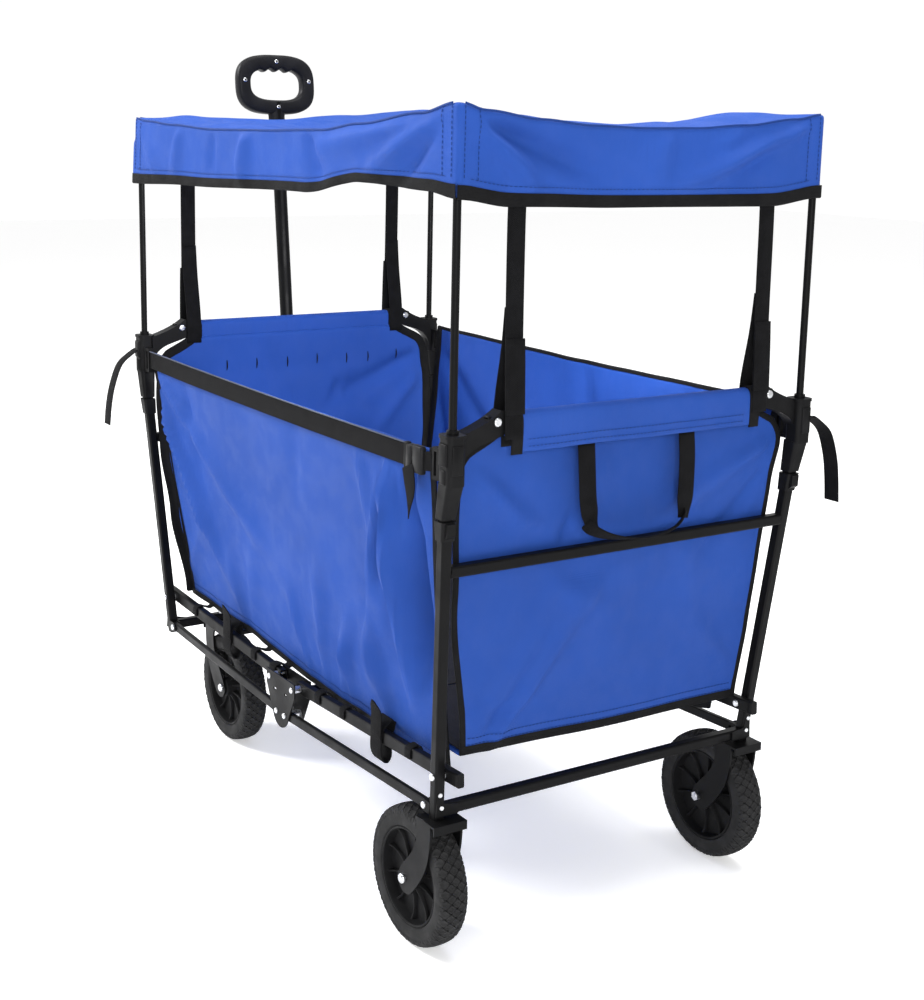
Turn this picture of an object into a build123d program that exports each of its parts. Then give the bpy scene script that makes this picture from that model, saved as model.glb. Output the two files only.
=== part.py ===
from build123d import *
from math import atan2, cos, radians, sin
import os

# Folding utility wagon with a canopy and a telescoping pull handle.
# Millimetres, +Z up. The length runs along X: the pull handle is at the -X end (the front),
# the fixed wheels are at the +X end (the rear). The width runs along Y, left side at -Y.
# Heights are measured from a level just above the floor; ORIGIN_Z lifts the whole wagon by the
# difference, so that the tyres stand on z = 0.

# ---------------------------------------------------------------- driving dimensions
WHEEL_D = 190.0          # 7.5 inch wheels
TYRE_W = 41.0
RIM_D = 134.0
AXLE_Z = 87.5
WHEEL_R = WHEEL_D / 2
FOOT_X, FOOT_Y, FOOT_Z = 430.0, 262.0, 188.0      # lower end of each post
TOP_X, TOP_Y, TOP_Z = 476.0, 286.5, 628.0         # upper end of each post, inside its bracket
TUBE = 15.0              # square tube of posts and crossbars
TUBE_R = 3.0
TUBE_WALL = 1.5
LOWER_BAR_Z = 200.0
MIDDLE_BAR_Z = 527.0
TOP_RAIL_Z = 712.0
ARM_X = 478.0            # middle plane of the bracket arms and the top rails
SOCKET_X, SOCKET_Y, SOCKET_Z = 484.0, 284.0, 702.0  # mouth of each canopy pole socket

RAIL_Y = 250.5           # middle plane of the side rails
RAIL_W, RAIL_H = 12.0, 18.0
LINK_Y = 264.0           # middle plane of the link bars
LINK_W, LINK_H = 8.0, 14.0
RAIL_PIVOT_Z = 249.0
RAIL_OVERHANG, CAP_LENGTH = 24.0, 7.0             # of the rail past its pivot, and of its end cap
MID_PIVOT_X, MID_PIVOT_Z = 37.0, 233.0            # rail pivots on the middle bracket
LINK_DX, LINK_DZ = 24.0, 48.0                     # from each rail pivot to its link pivot
PIN_R = 3.0
RUNNING = 0.05           # radial clearance of every turning pin

TRAIL = 50.0             # from fork centre to axle
FORK_Y = 256.0           # middle plane of the rear wheels
CASTER_Y = 170.0
FORK_PLATE = 50.0
FORK_T = 3.0
FORK_PLATE_Z = 185.0     # underside of the fork's top plate
AXLE_R = 4.0
STEM_R = 5.0
LEG_IN = 22.0            # from the wheel's middle plane to a fork leg

HANDLE_X, HANDLE_Z = -457.0, 198.0                # handle pivot
HANDLE_LEAN = 6.3
HANDLE_LOWER_R, HANDLE_UPPER_R = 14.0, 11.5
HANDLE_LOWER_END = 420.0
HANDLE_UPPER_START, HANDLE_UPPER_END = 335.0, 901.0
GRIP_W, GRIP_H, GRIP_T = 152.0, 106.0, 23.0
GRIP_HOLE_W, GRIP_HOLE_H = 100.0, 55.0
BUTTON_TRAVEL = 3.0
BUTTON_BASE = 17.2       # from the handle's axis to the button's inner face

POLE_R = 5.0
POLE_SEAT = 46.0         # depth of a pole in its socket
LOOSE_POLE_DROP = 24.0   # the front left pole is pushed in further than the others
CANOPY_X, CANOPY_Y = 492.0, 291.0                 # outside of the canopy's valance
CANOPY_TOP, VALANCE_BOTTOM = 1087.0, 968.0

PANEL_T = 2.5            # fabric with its lining
PANEL_LOW = 256.0        # hem of the end panels
SIDE_LOW, SIDE_HIGH = 246.0, 676.0                # hem and top edge of the side panels
SIDE_Y_LOW, SIDE_Y_HIGH = 229.0, 283.0            # the same edges' distance from the middle plane
FLOOR_Z = 262.0
BOARDS, BOARD_L, BOARD_PITCH, MAT_T = 4, 204.0, 207.0, 6.0
STRAP_T = 1.6
STRAP_W = 28.0
LOOP_OUT, LOOP_T = 486.0, 2.0                     # the carry loop's inner face, and its thickness
LOOP_LOW, LOOP_HIGH = 542.0, 668.0

ORIGIN_X = 35.25         # moves every part along +X, so that the outline is centred over the origin
ORIGIN_Z = WHEEL_R - AXLE_Z                       # and up

LEAN = (TOP_Z - FOOT_Z)


def post_x(z):
    return FOOT_X + (TOP_X - FOOT_X) * (z - FOOT_Z) / LEAN


def post_y(z):
    return FOOT_Y + (TOP_Y - FOOT_Y) * (z - FOOT_Z) / LEAN


RAIL_PIVOT_X = post_x(RAIL_PIVOT_Z)
CASTER_X = post_x(LOWER_BAR_Z)      # mirrored to the front end

nodes = {}


# ---------------------------------------------------------------- helpers
def flip_y(solid):
    return mirror(solid, about=Plane.XZ)


def flip_x(solid):
    return mirror(solid, about=Plane.YZ)


def both_sides(solid):
    """The left (-Y) solid and its mirror image on the right."""
    return [solid, flip_y(solid)]


def keep(name, *solids):
    """Store a node; lists of solids are allowed."""
    found = []
    for item in solids:
        found.extend(item if isinstance(item, list) else [item])
    nodes[name] = found


def block(x0, x1, y0, y1, z0, z1):
    centre = Pos((x0 + x1) / 2, (y0 + y1) / 2, (z0 + z1) / 2)
    return centre * Box(abs(x1 - x0), abs(y1 - y0), abs(z1 - z0))


def rod(start, end, radius):
    """A round bar from start to end."""
    start, end = Vector(*start), Vector(*end)
    return extrude(Plane(start, z_dir=end - start) * Circle(radius), amount=(end - start).length)


def flat_bar(start, end, wide, tall, across=(0, 1, 0), wall=0.0, corner=2.0):
    """A rectangular bar or tube from start to end; wide is measured along across."""
    start, end = Vector(*start), Vector(*end)
    frame = Plane(start, x_dir=Vector(*across), z_dir=end - start)
    profile = RectangleRounded(wide, tall, corner)
    if wall:
        profile = profile - RectangleRounded(wide - 2 * wall, tall - 2 * wall, max(corner - wall, 0.4))
    return extrude(frame * profile, amount=(end - start).length)


def pin_y(x, z, y0, y1, radius):
    """A round bar along Y."""
    return rod((x, y0, z), (x, y1, z), radius)


def in_xz(face, y0, y1):
    """Thicken a face drawn in XZ from y0 to y1."""
    solid = extrude(Plane((0, y1, 0), x_dir=(1, 0, 0), z_dir=(0, -1, 0)) * face, amount=y1 - y0)
    return solid


def in_yz(face, x0, x1):
    """Thicken a face drawn in YZ from x0 to x1."""
    return extrude(Plane((x0, 0, 0), x_dir=(0, 1, 0), z_dir=(1, 0, 0)) * face, amount=x1 - x0)


def outline(*points):
    return make_face(Polyline(*points, close=True))


# ---------------------------------------------------------------- end frames
def solid_post(corner=TUBE_R):
    """The left rear post as an endless solid bar, used to cut what meets it."""
    low, high = FOOT_Z - 40, TOP_Z + 60
    start = (post_x(low), -post_y(low), low)
    end = (post_x(high), -post_y(high), high)
    return flat_bar(start, end, TUBE, TUBE, corner=corner)


def end_frame_posts():
    """The left and right rear posts, cut level at both ends."""
    hollow = flat_bar((post_x(FOOT_Z - 30), -post_y(FOOT_Z - 30), FOOT_Z - 30),
                      (post_x(TOP_Z + 30), -post_y(TOP_Z + 30), TOP_Z + 30),
                      TUBE, TUBE, wall=TUBE_WALL, corner=TUBE_R)
    level = block(300, 600, -400, -200, FOOT_Z, TOP_Z)
    return both_sides(hollow & level)


def crossbar(z):
    """A square tube between the two rear posts at height z, its ends cut to fit them."""
    reach = post_y(z) - TUBE / 2 + 1.2
    bar = flat_bar((post_x(z), -reach, z), (post_x(z), reach, z), TUBE, TUBE,
                   across=(1, 0, 0), wall=TUBE_WALL, corner=TUBE_R)
    for side in both_sides(solid_post(corner=0.2)):
        bar = bar - side
    return max(bar.solids(), key=lambda piece: piece.volume)


def corner_gusset():
    """A flat plate on the outer face of a post and the lower crossbar, over their corner."""
    face_x = post_x(LOWER_BAR_Z) + TUBE / 2
    plate = outline((-270, 194), (-236, 194), (-236, 206), (-258, 211), (-261, 230), (-268, 230))
    return in_yz(plate, face_x + 0.9, face_x + 2.9) - solid_post()


def link_lug():
    """A U-shaped lug on the inner face of a post that carries the link bar's pivot."""
    pivot_x, pivot_z = RAIL_PIVOT_X - LINK_DX, RAIL_PIVOT_Z - LINK_DZ
    ear = Pos(pivot_x, pivot_z) * Circle(8) + Pos(pivot_x + 6.5, pivot_z) * Rectangle(13, 16)
    ears = in_xz(ear, -LINK_Y - 6.5, -LINK_Y - 4.5) + in_xz(ear, -LINK_Y + 4.5, -LINK_Y + 6.0)
    web = block(pivot_x + 10.5, pivot_x + 13, -LINK_Y - 6.5, -LINK_Y + 6.0, pivot_z - 8, pivot_z + 8)
    return (ears + web) - solid_post()


def top_rail():
    """The tube inside the end panel's folded top edge, plugged into the two bracket arms."""
    return flat_bar((ARM_X, -233, TOP_RAIL_Z), (ARM_X, 233, TOP_RAIL_Z), 13, 13,
                    across=(1, 0, 0), wall=1.5, corner=3)


def corner_bracket():
    """A moulded bracket on a post's top: pole socket, sleeve over the post and curved arm."""
    socket = Pos(SOCKET_X, -SOCKET_Y, (SOCKET_Z + 640) / 2) * extrude(
        RectangleRounded(27, 25, 7), amount=(SOCKET_Z - 640) / 2, both=True)
    lip = Pos(SOCKET_X, -SOCKET_Y, SOCKET_Z - 4) * extrude(RectangleRounded(30, 28, 9), amount=4)
    sleeve = loft([Pos(post_x(597), -post_y(597), 597) * RectangleRounded(20, 20, 4),
                   Pos(SOCKET_X - 2, -SOCKET_Y + 0.5, 642) * RectangleRounded(27, 25, 6)])
    upper = Spline((-276, 699), (-255, 706), (-234, 715), (-217, 725.5))
    end = ThreePointArc((-217, 725.5), (-204, 717), (-208, 698))
    lower = Spline((-208, 698), (-233, 689), (-257, 680), (-276, 652))
    back = Line((-276, 652), (-276, 699))
    arm = in_yz(make_face(upper + end + lower + back), ARM_X - 10, ARM_X + 10)
    ear = block(450, 474, -SOCKET_Y - 7, -SOCKET_Y + 3, 642, 682)
    ear = ear - block(454, 460, -SOCKET_Y - 12, -SOCKET_Y + 12, 647, 677)
    body = socket + lip + sleeve + arm + ear
    body = body - flat_bar((ARM_X, -233, TOP_RAIL_Z), (ARM_X, 0, TOP_RAIL_Z), 13, 13,
                           across=(1, 0, 0), corner=3)
    body = body - (solid_post() & block(300, 600, -400, -200, 100, TOP_Z))
    return body - rod((SOCKET_X, -SOCKET_Y, TOP_Z + 4), (SOCKET_X, -SOCKET_Y, SOCKET_Z + 5), POLE_R + 0.3)


def collar():
    """A moulded stop clamped round a post just under the bracket."""
    low, high = 569, 594
    sleeve = loft([Pos(post_x(low), -post_y(low), low) * RectangleRounded(19, 19, 4),
                   Pos(post_x(high), -post_y(high), high) * RectangleRounded(22, 21, 4)])
    side = outline((post_x(low) + 8, low + 2), (post_x(low) + 16, low + 8),
                   (post_x(high) + 14, high - 2), (post_x(high) + 8, high))
    middle = post_y((low + high) / 2)
    wedge = in_xz(side, -middle - 6, -middle + 6)
    return (sleeve + wedge) - solid_post()


def rivet_head(centre, direction, radius=5.0, height=2.4):
    """A domed head standing on a surface."""
    frame = Plane(Vector(*centre), z_dir=Vector(*direction))
    dome = extrude(Circle(radius), amount=height)
    dome = fillet(dome.edges().group_by(Axis.Z)[-1], height * 0.7)
    return frame * dome


def rail_pin_at_post():
    """The pivot pin through a post and the end of its side rail, with a head on each side."""
    z = RAIL_PIVOT_Z
    outer = -post_y(z) - TUBE / 2 - 0.6
    inner = -RAIL_Y + RAIL_W / 2 + 0.5
    shank = pin_y(RAIL_PIVOT_X, z, outer, inner, PIN_R)
    washer = pin_y(RAIL_PIVOT_X, z, -post_y(z) + TUBE / 2 - 0.4, -RAIL_Y - RAIL_W / 2 - 0.3, 6)
    washer = washer - pin_y(RAIL_PIVOT_X, z, -300, -200, PIN_R) - solid_post()
    outer_head = rivet_head((RAIL_PIVOT_X, outer, z), (0, -1, 0))
    inner_head = rivet_head((RAIL_PIVOT_X, inner, z), (0, 1, 0))
    return [shank + outer_head + inner_head, washer]


def link_pin_at_post():
    """The pivot pin through the link bar's end and both ears of its lug."""
    x, z = RAIL_PIVOT_X - LINK_DX, RAIL_PIVOT_Z - LINK_DZ
    shank = pin_y(x, z, -LINK_Y - 6.5, -LINK_Y + 6.0, PIN_R)
    return [shank + rivet_head((x, -LINK_Y - 6.5, z), (0, -1, 0))]


def frame_rivets():
    """Rivets of one rear end frame: arms, gussets and the pivots of the left and right side."""
    arm = rivet_head((ARM_X + 10, -222.5, TOP_RAIL_Z), (1, 0, 0), 5.5, 2.6)
    arm_inside = rivet_head((ARM_X - 10, -222.5, TOP_RAIL_Z), (-1, 0, 0), 5.5, 2.6)
    face_x = post_x(LOWER_BAR_Z) + TUBE / 2 + 2.9
    gusset = [rivet_head((face_x, -264.5, 224), (1, 0, 0), 3.2, 1.6),
              rivet_head((face_x, -262, 206), (1, 0, 0), 3.2, 1.6)]
    left = [arm, arm_inside] + gusset + rail_pin_at_post() + link_pin_at_post()
    return left + [flip_y(piece) for piece in left]


def end_frame(prefix, place):
    """Everything rigid on one end frame; place moves a rear piece to its own end."""
    keep(prefix + "_posts", [place(p) for p in end_frame_posts()])
    keep(prefix + "_lower_bar", place(lower_bar(prefix)))
    keep(prefix + "_middle_bar", place(crossbar(MIDDLE_BAR_Z)))
    keep(prefix + "_top_rail", place(top_rail()))
    mouldings = both_sides(corner_bracket()) + both_sides(collar())
    keep(prefix + "_corner_brackets", [place(p) for p in mouldings])
    keep(prefix + "_gussets", [place(p) for p in both_sides(corner_gusset()) + both_sides(link_lug())])
    fasteners = [place(p) for p in frame_rivets()]
    if prefix == "rear":
        fasteners += both_sides(axle_bolt(post_x(FOOT_Z), -FORK_Y))
    else:
        fasteners.append(handle_pin())
    keep(prefix + "_fasteners", fasteners)


def lower_bar(prefix):
    """The lower crossbar; the front one is bored for the two caster stems."""
    bar = crossbar(LOWER_BAR_Z)
    if prefix == "front":
        for side in (-1, 1):
            bar = bar - rod((CASTER_X, side * CASTER_Y, 150), (CASTER_X, side * CASTER_Y, 250), STEM_R)
    return bar


# ---------------------------------------------------------------- wheels, forks and casters
def fork(at_x, at_y, bored):
    """Pressed steel fork: a square plate with lips and two curved legs trailing to -X."""
    half = FORK_PLATE / 2
    z = FORK_PLATE_Z
    plate = block(-half + 4, half, -half, half, z, z + FORK_T)
    lip = block(half - FORK_T, half, -half, half, z - 9, z)
    outer = Spline((15, z), (14, 157), (7, 127), (-12, 95), (-30, 74))
    boss = ThreePointArc((-30, 74), (-50, 70), (-63, 87))
    inner = Spline((-63, 87), (-55, 103), (-31, 131), (-18, 158), (-21, z))
    leg = make_face(outer + boss + inner + Line((-21, z), (15, z)))
    leg = leg - Pos(-TRAIL, AXLE_Z) * Circle(AXLE_R)
    legs = in_xz(leg, -half, -LEG_IN) + in_xz(leg, LEG_IN, half)
    body = plate + lip + legs
    if bored:
        body = body - rod((0, 0, 150), (0, 0, 250), STEM_R + RUNNING)
    return Pos(at_x, at_y, 0) * body


def axle_bolt(at_x, at_y):
    """Bolt through both fork legs with a domed head on one side and a nut on the other."""
    half = FORK_PLATE / 2
    shank = pin_y(0, AXLE_Z, -half, half + 7, AXLE_R)
    head = rivet_head((0, -half, AXLE_Z), (0, -1, 0), 7, 4.5)
    nut = extrude(Plane((0, half, AXLE_Z), z_dir=(0, 1, 0)) * RegularPolygon(7, 6), amount=6)
    return Pos(at_x - TRAIL, at_y, 0) * (shank + head + nut)


def tyre_section():
    """Half section of a tyre: the radius runs along X and the width along Y."""
    inner, half, bead, shoulder = RIM_D / 2, TYRE_W / 2, 7.0, 10.0
    right = [(inner, half - 4), (inner + 3, half - 1), (inner + bead, half)]
    right += [(WHEEL_R - shoulder, half), (WHEEL_R - 3, half - 3), (WHEEL_R, half - shoulder)]
    left = [(x, -y) for x, y in right]
    edges = Line(left[0], right[0]) + Line(right[5], left[5])
    for side in (left, right):
        edges += ThreePointArc(*side[:3]) + Line(side[2], side[3]) + ThreePointArc(*side[3:])
    return make_face(edges)


def tyre(at_x, at_y):
    """Solid rubber tyre with rounded shoulders."""
    ring = revolve(tyre_section(), Axis.Y)
    return Pos(at_x - TRAIL, at_y, AXLE_Z) * ring


def rim(at_x, at_y):
    """Moulded rim: barrel, recessed web, thin radial ribs and a long hub."""
    outer, half = RIM_D / 2, TYRE_W / 2 - 4
    ribs = 10
    around = Plane((0, 0, 0), x_dir=(1, 0, 0), z_dir=(0, 1, 0))
    barrel = extrude(around * (Circle(outer) - Circle(outer - 4)), amount=half, both=True)
    web = extrude(around * (Circle(outer - 3.5) - Circle(13)), amount=2, both=True)
    hub = extrude(around * Circle(15), amount=LEG_IN - 1, both=True)
    body = barrel + web + hub
    for turn in range(ribs):
        rib = block(13, outer - 3.5, -9, 9, -1.6, 1.6)
        body = body + Rot(0, turn * 360 / ribs, 0) * rib
    body = body - extrude(around * Circle(AXLE_R + RUNNING), amount=LEG_IN + 5, both=True)
    return Pos(at_x - TRAIL, at_y, AXLE_Z) * body


def caster_stem(at_y):
    """Stem bolt of a front caster with its bearing ring, both fixed in the lower crossbar."""
    bar_bottom = LOWER_BAR_Z - TUBE / 2
    stem = rod((0, 0, FORK_PLATE_Z - 0.3), (0, 0, LOWER_BAR_Z + TUBE / 2 + 8), STEM_R)
    head = rod((0, 0, FORK_PLATE_Z - 3.6), (0, 0, FORK_PLATE_Z - 0.3), 9)
    nut = extrude(Pos(0, 0, LOWER_BAR_Z + TUBE / 2) * RegularPolygon(8.5, 6), amount=6)
    race = rod((0, 0, FORK_PLATE_Z + FORK_T + 0.3), (0, 0, bar_bottom), 16)
    race = race - rod((0, 0, 150), (0, 0, 250), STEM_R)
    return [Pos(-CASTER_X, at_y, 0) * (stem + head + nut), Pos(-CASTER_X, at_y, 0) * race]


def running_gear():
    """Fixed rear forks under the posts, swivelling front casters under the lower crossbar."""
    rear_x = post_x(FOOT_Z)
    keep("rear_forks", fork(rear_x, -FORK_Y, False), fork(rear_x, FORK_Y, False))
    keep("caster_stems", caster_stem(-CASTER_Y), caster_stem(CASTER_Y))
    for side, y in (("left", -1), ("right", 1)):
        # A rear fork trails towards -X, a caster fork towards +X.
        keep("rear_tyre_" + side, tyre(rear_x, y * FORK_Y))
        keep("rear_rim_" + side, rim(rear_x, y * FORK_Y))
        keep("caster_fork_" + side, flip_x(fork(CASTER_X, y * CASTER_Y, True)))
        bolt = axle_bolt(CASTER_X, -CASTER_Y)
        keep("caster_axle_" + side, flip_x(bolt if y < 0 else flip_y(bolt)))
        keep("front_tyre_" + side, flip_x(tyre(CASTER_X, y * CASTER_Y)))
        keep("front_rim_" + side, flip_x(rim(CASTER_X, y * CASTER_Y)))


# ---------------------------------------------------------------- folding side rails
def pivoted_bar(start, end, y, wide, tall, beyond_start, beyond_end, wall):
    """A bar in an XZ plane between two pivots, running past each, bored for both pins."""
    along = (Vector(end[0], 0, end[1]) - Vector(start[0], 0, start[1])).normalized()
    first = Vector(start[0], y, start[1]) - along * beyond_start
    last = Vector(end[0], y, end[1]) + along * beyond_end
    bar = flat_bar(tuple(first), tuple(last), wide, tall, wall=wall, corner=2.0)
    for x, z in (start, end):
        bar = bar - pin_y(x, z, y - 20, y + 20, PIN_R + RUNNING)
    return bar


def side_rail():
    """The rear half of the left side rail, from the post to the middle bracket."""
    return pivoted_bar((RAIL_PIVOT_X, RAIL_PIVOT_Z), (MID_PIVOT_X, MID_PIVOT_Z), -RAIL_Y,
                       RAIL_W, RAIL_H, RAIL_OVERHANG, 9, 1.5)


def rail_cap():
    """Moulded plug over the outer end of a side rail."""
    along = (Vector(RAIL_PIVOT_X, 0, RAIL_PIVOT_Z) - Vector(MID_PIVOT_X, 0, MID_PIVOT_Z)).normalized()
    start = Vector(RAIL_PIVOT_X, -RAIL_Y, RAIL_PIVOT_Z) + along * RAIL_OVERHANG
    end = start + along * CAP_LENGTH
    return flat_bar(tuple(start), tuple(end), RAIL_W - 1.4, RAIL_H + 1, corner=2.5)


def link_bar():
    """The rear half of the left link bar, parallel to the rail above it."""
    start = (RAIL_PIVOT_X - LINK_DX, RAIL_PIVOT_Z - LINK_DZ)
    end = (MID_PIVOT_X - LINK_DX, MID_PIVOT_Z - LINK_DZ)
    return pivoted_bar(start, end, -LINK_Y, LINK_W, LINK_H, 7, 7, 1.2)


def floor_bar():
    """A flat bar between the left and right rail halves that carries the floor."""
    share = 0.52
    x = RAIL_PIVOT_X + (MID_PIVOT_X - RAIL_PIVOT_X) * share
    z = RAIL_PIVOT_Z + (MID_PIVOT_Z - RAIL_PIVOT_Z) * share
    half = RAIL_Y - RAIL_W / 2
    return flat_bar((x, -half, z), (x, half, z), 18, 8, across=(1, 0, 0), wall=1.2, corner=2)


def middle_plate():
    """Plate of the middle bracket, wide at the rail pivots and rounded at the link pivots."""
    top = MID_PIVOT_Z + 11
    half = [(46, top), (46, 222), (22, 176)]
    arc = ThreePointArc((22, 176), (0, 163), (-22, 176))
    mirrored = Polyline((-22, 176), (-46, 222), (-46, top), (46, top))
    plate = make_face(Polyline(*half) + arc + mirrored)
    for x in (-18, 18):
        plate = plate - Pos(x, 219) * SlotOverall(9, 3.5)
    return plate


def middle_bracket():
    """Outer and inner plates on one side, held apart by the pivot pins' shoulders."""
    outer = in_xz(middle_plate(), -LINK_Y - 6.5, -LINK_Y - 4.5)
    inner = in_xz(middle_plate(), -RAIL_Y + RAIL_W / 2 + 0.5, -RAIL_Y + RAIL_W / 2 + 2.5)
    return [outer, inner]


def middle_pins():
    """The four pivot pins of the left middle bracket, each with a shoulder beside its bar."""
    outer, inner = -LINK_Y - 6.5, -RAIL_Y + RAIL_W / 2 + 2.5
    slack = 0.3
    pins = []
    for side in (-1, 1):
        rail = (side * MID_PIVOT_X, MID_PIVOT_Z, outer + 2, -RAIL_Y - RAIL_W / 2 - slack)
        link_x, link_z = side * (MID_PIVOT_X - LINK_DX), MID_PIVOT_Z - LINK_DZ
        link = (link_x, link_z, -LINK_Y + LINK_W / 2 + slack, inner - 2)
        for x, z, shoulder_start, shoulder_end in (rail, link):
            shank = pin_y(x, z, outer, inner, PIN_R)
            shoulder = pin_y(x, z, shoulder_start, shoulder_end, 5.5)
            pins.append(shank + shoulder + rivet_head((x, outer, z), (0, -1, 0), 4.5, 2))
    return pins


def middle_cross_tube():
    """Round tube between the inner plates of the two middle brackets."""
    reach, z = RAIL_Y - RAIL_W / 2 - 2.5, 210
    return pin_y(0, z, -reach, reach, 9) - pin_y(0, z, -reach - 10, reach + 10, 7.5)


def folding_sides():
    keep("rear_side_rails", both_sides(side_rail()))
    keep("rear_rail_caps", both_sides(rail_cap()))
    keep("rear_floor_bar", floor_bar())
    keep("rear_link_bars", both_sides(link_bar()))
    keep("front_side_rails", [flip_x(p) for p in both_sides(side_rail())])
    keep("front_rail_caps", [flip_x(p) for p in both_sides(rail_cap())])
    keep("front_floor_bar", flip_x(floor_bar()))
    keep("front_link_bars", [flip_x(p) for p in both_sides(link_bar())])
    plates, pins = middle_bracket(), middle_pins()
    keep("middle_brackets", plates, [flip_y(p) for p in plates])
    keep("middle_pins", pins, [flip_y(p) for p in pins])
    keep("middle_cross_tube", middle_cross_tube())


# ---------------------------------------------------------------- pull handle
def on_handle(distance, side=0.0, out=0.0):
    """A point on the handle: distance up its leaning axis, side along Y, out to the front."""
    lean = radians(HANDLE_LEAN)
    x = HANDLE_X - distance * sin(lean) - out * cos(lean)
    z = HANDLE_Z + distance * cos(lean) - out * sin(lean)
    return Vector(x, side, z)


def handle_tube(start, end, radius, wall):
    first, last = on_handle(start), on_handle(end)
    return rod(first, last, radius) - rod(on_handle(start - 1), on_handle(end + 1), radius - wall)


def handle_bracket():
    """Two ears welded to the front lower crossbar, carrying the handle's pivot pin."""
    ears = []
    bar_face = -CASTER_X - TUBE / 2
    for y in (-18.0, 15.0):
        foot = Pos((HANDLE_X + bar_face) / 2, HANDLE_Z) * Rectangle(bar_face - HANDLE_X, 24)
        ears.append(in_xz(foot + Pos(HANDLE_X, HANDLE_Z) * Circle(12), y, y + 3))
    back = block(bar_face - 2, bar_face, -18, 18, HANDLE_Z - 12, HANDLE_Z + 12)
    body = ears[0] + ears[1] + back
    return body - pin_y(HANDLE_X, HANDLE_Z, -30, 30, 4)


def handle_pin():
    """The handle's pivot pin with a domed head outside each ear."""
    half = 18
    pin = pin_y(HANDLE_X, HANDLE_Z, -half, half, 4)
    for side in (-1, 1):
        pin = pin + rivet_head((HANDLE_X, side * half, HANDLE_Z), (0, side, 0), 7, 3)
    return pin


def lower_tube():
    tube = handle_tube(0, HANDLE_LOWER_END, HANDLE_LOWER_R, 2.0)
    foot = Pos(HANDLE_X, 0, HANDLE_Z) * Sphere(HANDLE_LOWER_R)
    tube = tube + (foot - rod(on_handle(12), on_handle(60), HANDLE_LOWER_R - 2.0))
    return tube - pin_y(HANDLE_X, HANDLE_Z, -30, 30, 4 + RUNNING)


def handle_collar():
    """Clamp collar on the lower tube's mouth with a pocket for the release button."""
    end = HANDLE_LOWER_END
    body = rod(on_handle(end - 30), on_handle(end + 10), 19)
    body = fillet(body.edges().filter_by(GeomType.CIRCLE), 3)
    body = body - rod(on_handle(end - 40), on_handle(end), HANDLE_LOWER_R)
    body = body - rod(on_handle(end - 1), on_handle(end + 20), HANDLE_UPPER_R + 0.4)
    return body - handle_button(0.4, BUTTON_TRAVEL)


def handle_button(slack=0.0, travel=0.0):
    """The release button in the collar's front; with slack and travel, the pocket it moves in."""
    middle = HANDLE_LOWER_END - 10
    base = on_handle(middle, 0, BUTTON_BASE - slack - travel)
    frame = Plane(base, x_dir=(0, 1, 0), z_dir=on_handle(0, 0, 1) - on_handle(0))
    face = RectangleRounded(12 + 2 * slack, 18 + 2 * slack, 4)
    return extrude(frame * face, amount=5.6 + slack + travel)


def upper_tube():
    return handle_tube(HANDLE_UPPER_START, HANDLE_UPPER_END, HANDLE_UPPER_R, 1.5)


def handle_grip():
    """D-ring grip with finger bumps inside its upper bar, round the top of the upper tube."""
    centre = on_handle(HANDLE_UPPER_END + 31)
    frame = Plane(centre, x_dir=(0, 1, 0), z_dir=on_handle(0, 0, 1) - on_handle(0))
    ring = RectangleRounded(GRIP_W, GRIP_H, 46)
    hole = RectangleRounded(GRIP_HOLE_W, GRIP_HOLE_H, 25)
    for step in (-1, 0, 1):
        hole = hole - Pos(step * 21, GRIP_HOLE_H / 2 + 2.5) * Circle(7)
    ring = ring - hole
    body = extrude(frame * ring, amount=GRIP_T / 2, both=True)
    neck = rod(on_handle(HANDLE_UPPER_END - 42), on_handle(HANDLE_UPPER_END - 16), 15)
    body = body + neck
    return body - rod(on_handle(HANDLE_UPPER_END - 60), on_handle(HANDLE_UPPER_END), HANDLE_UPPER_R)


def pull_handle():
    keep("handle_bracket", handle_bracket())
    keep("handle_lower_tube", lower_tube())
    keep("handle_collar", handle_collar())
    keep("handle_button", handle_button())
    keep("handle_upper_tube", upper_tube())
    keep("handle_grip", handle_grip())


# ---------------------------------------------------------------- fabric basket
def end_panel():
    """The rear fabric wall inside the posts, with its top folded over the top rail."""
    low, high = PANEL_LOW, 700.0
    inner = TUBE / 2 + 2.0
    shape = outline((-232, low), (232, low), (258, 560), (262, 640), (203, 690), (203, high),
                    (-203, high), (-203, 690), (-262, 640), (-258, 560))
    tilt = atan2(TOP_X - FOOT_X, LEAN)
    frame = Plane((post_x(low) - inner, 0, low), x_dir=(0, 1, 0), z_dir=(cos(tilt), 0, -sin(tilt)))
    wall = extrude(frame * Pos(0, -low) * shape, amount=-PANEL_T)
    fold = block(ARM_X - 9, ARM_X + 10.5, -199, 199, 669, 721.5)
    fold = fold - block(ARM_X - 6.8, ARM_X + 6.8, -210, 210, 600, 718.8)
    fold = fold - block(ARM_X + 6.7, ARM_X + 7.5, -210, 210, 600, 700)
    return (wall - block(400, ARM_X - 9, -300, 300, 699, 760)) + fold


def carry_loop():
    """Webbing loop hanging from under the folded edge, against the rear wall."""
    inner, outer = LOOP_OUT, LOOP_OUT + LOOP_T
    loop = block(inner, outer, -98, 93, LOOP_LOW, LOOP_LOW + 18)
    for side in (-98, 65):
        loop = loop + block(inner, outer, side, side + STRAP_W, LOOP_LOW + 16, LOOP_HIGH)
    return loop


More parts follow.
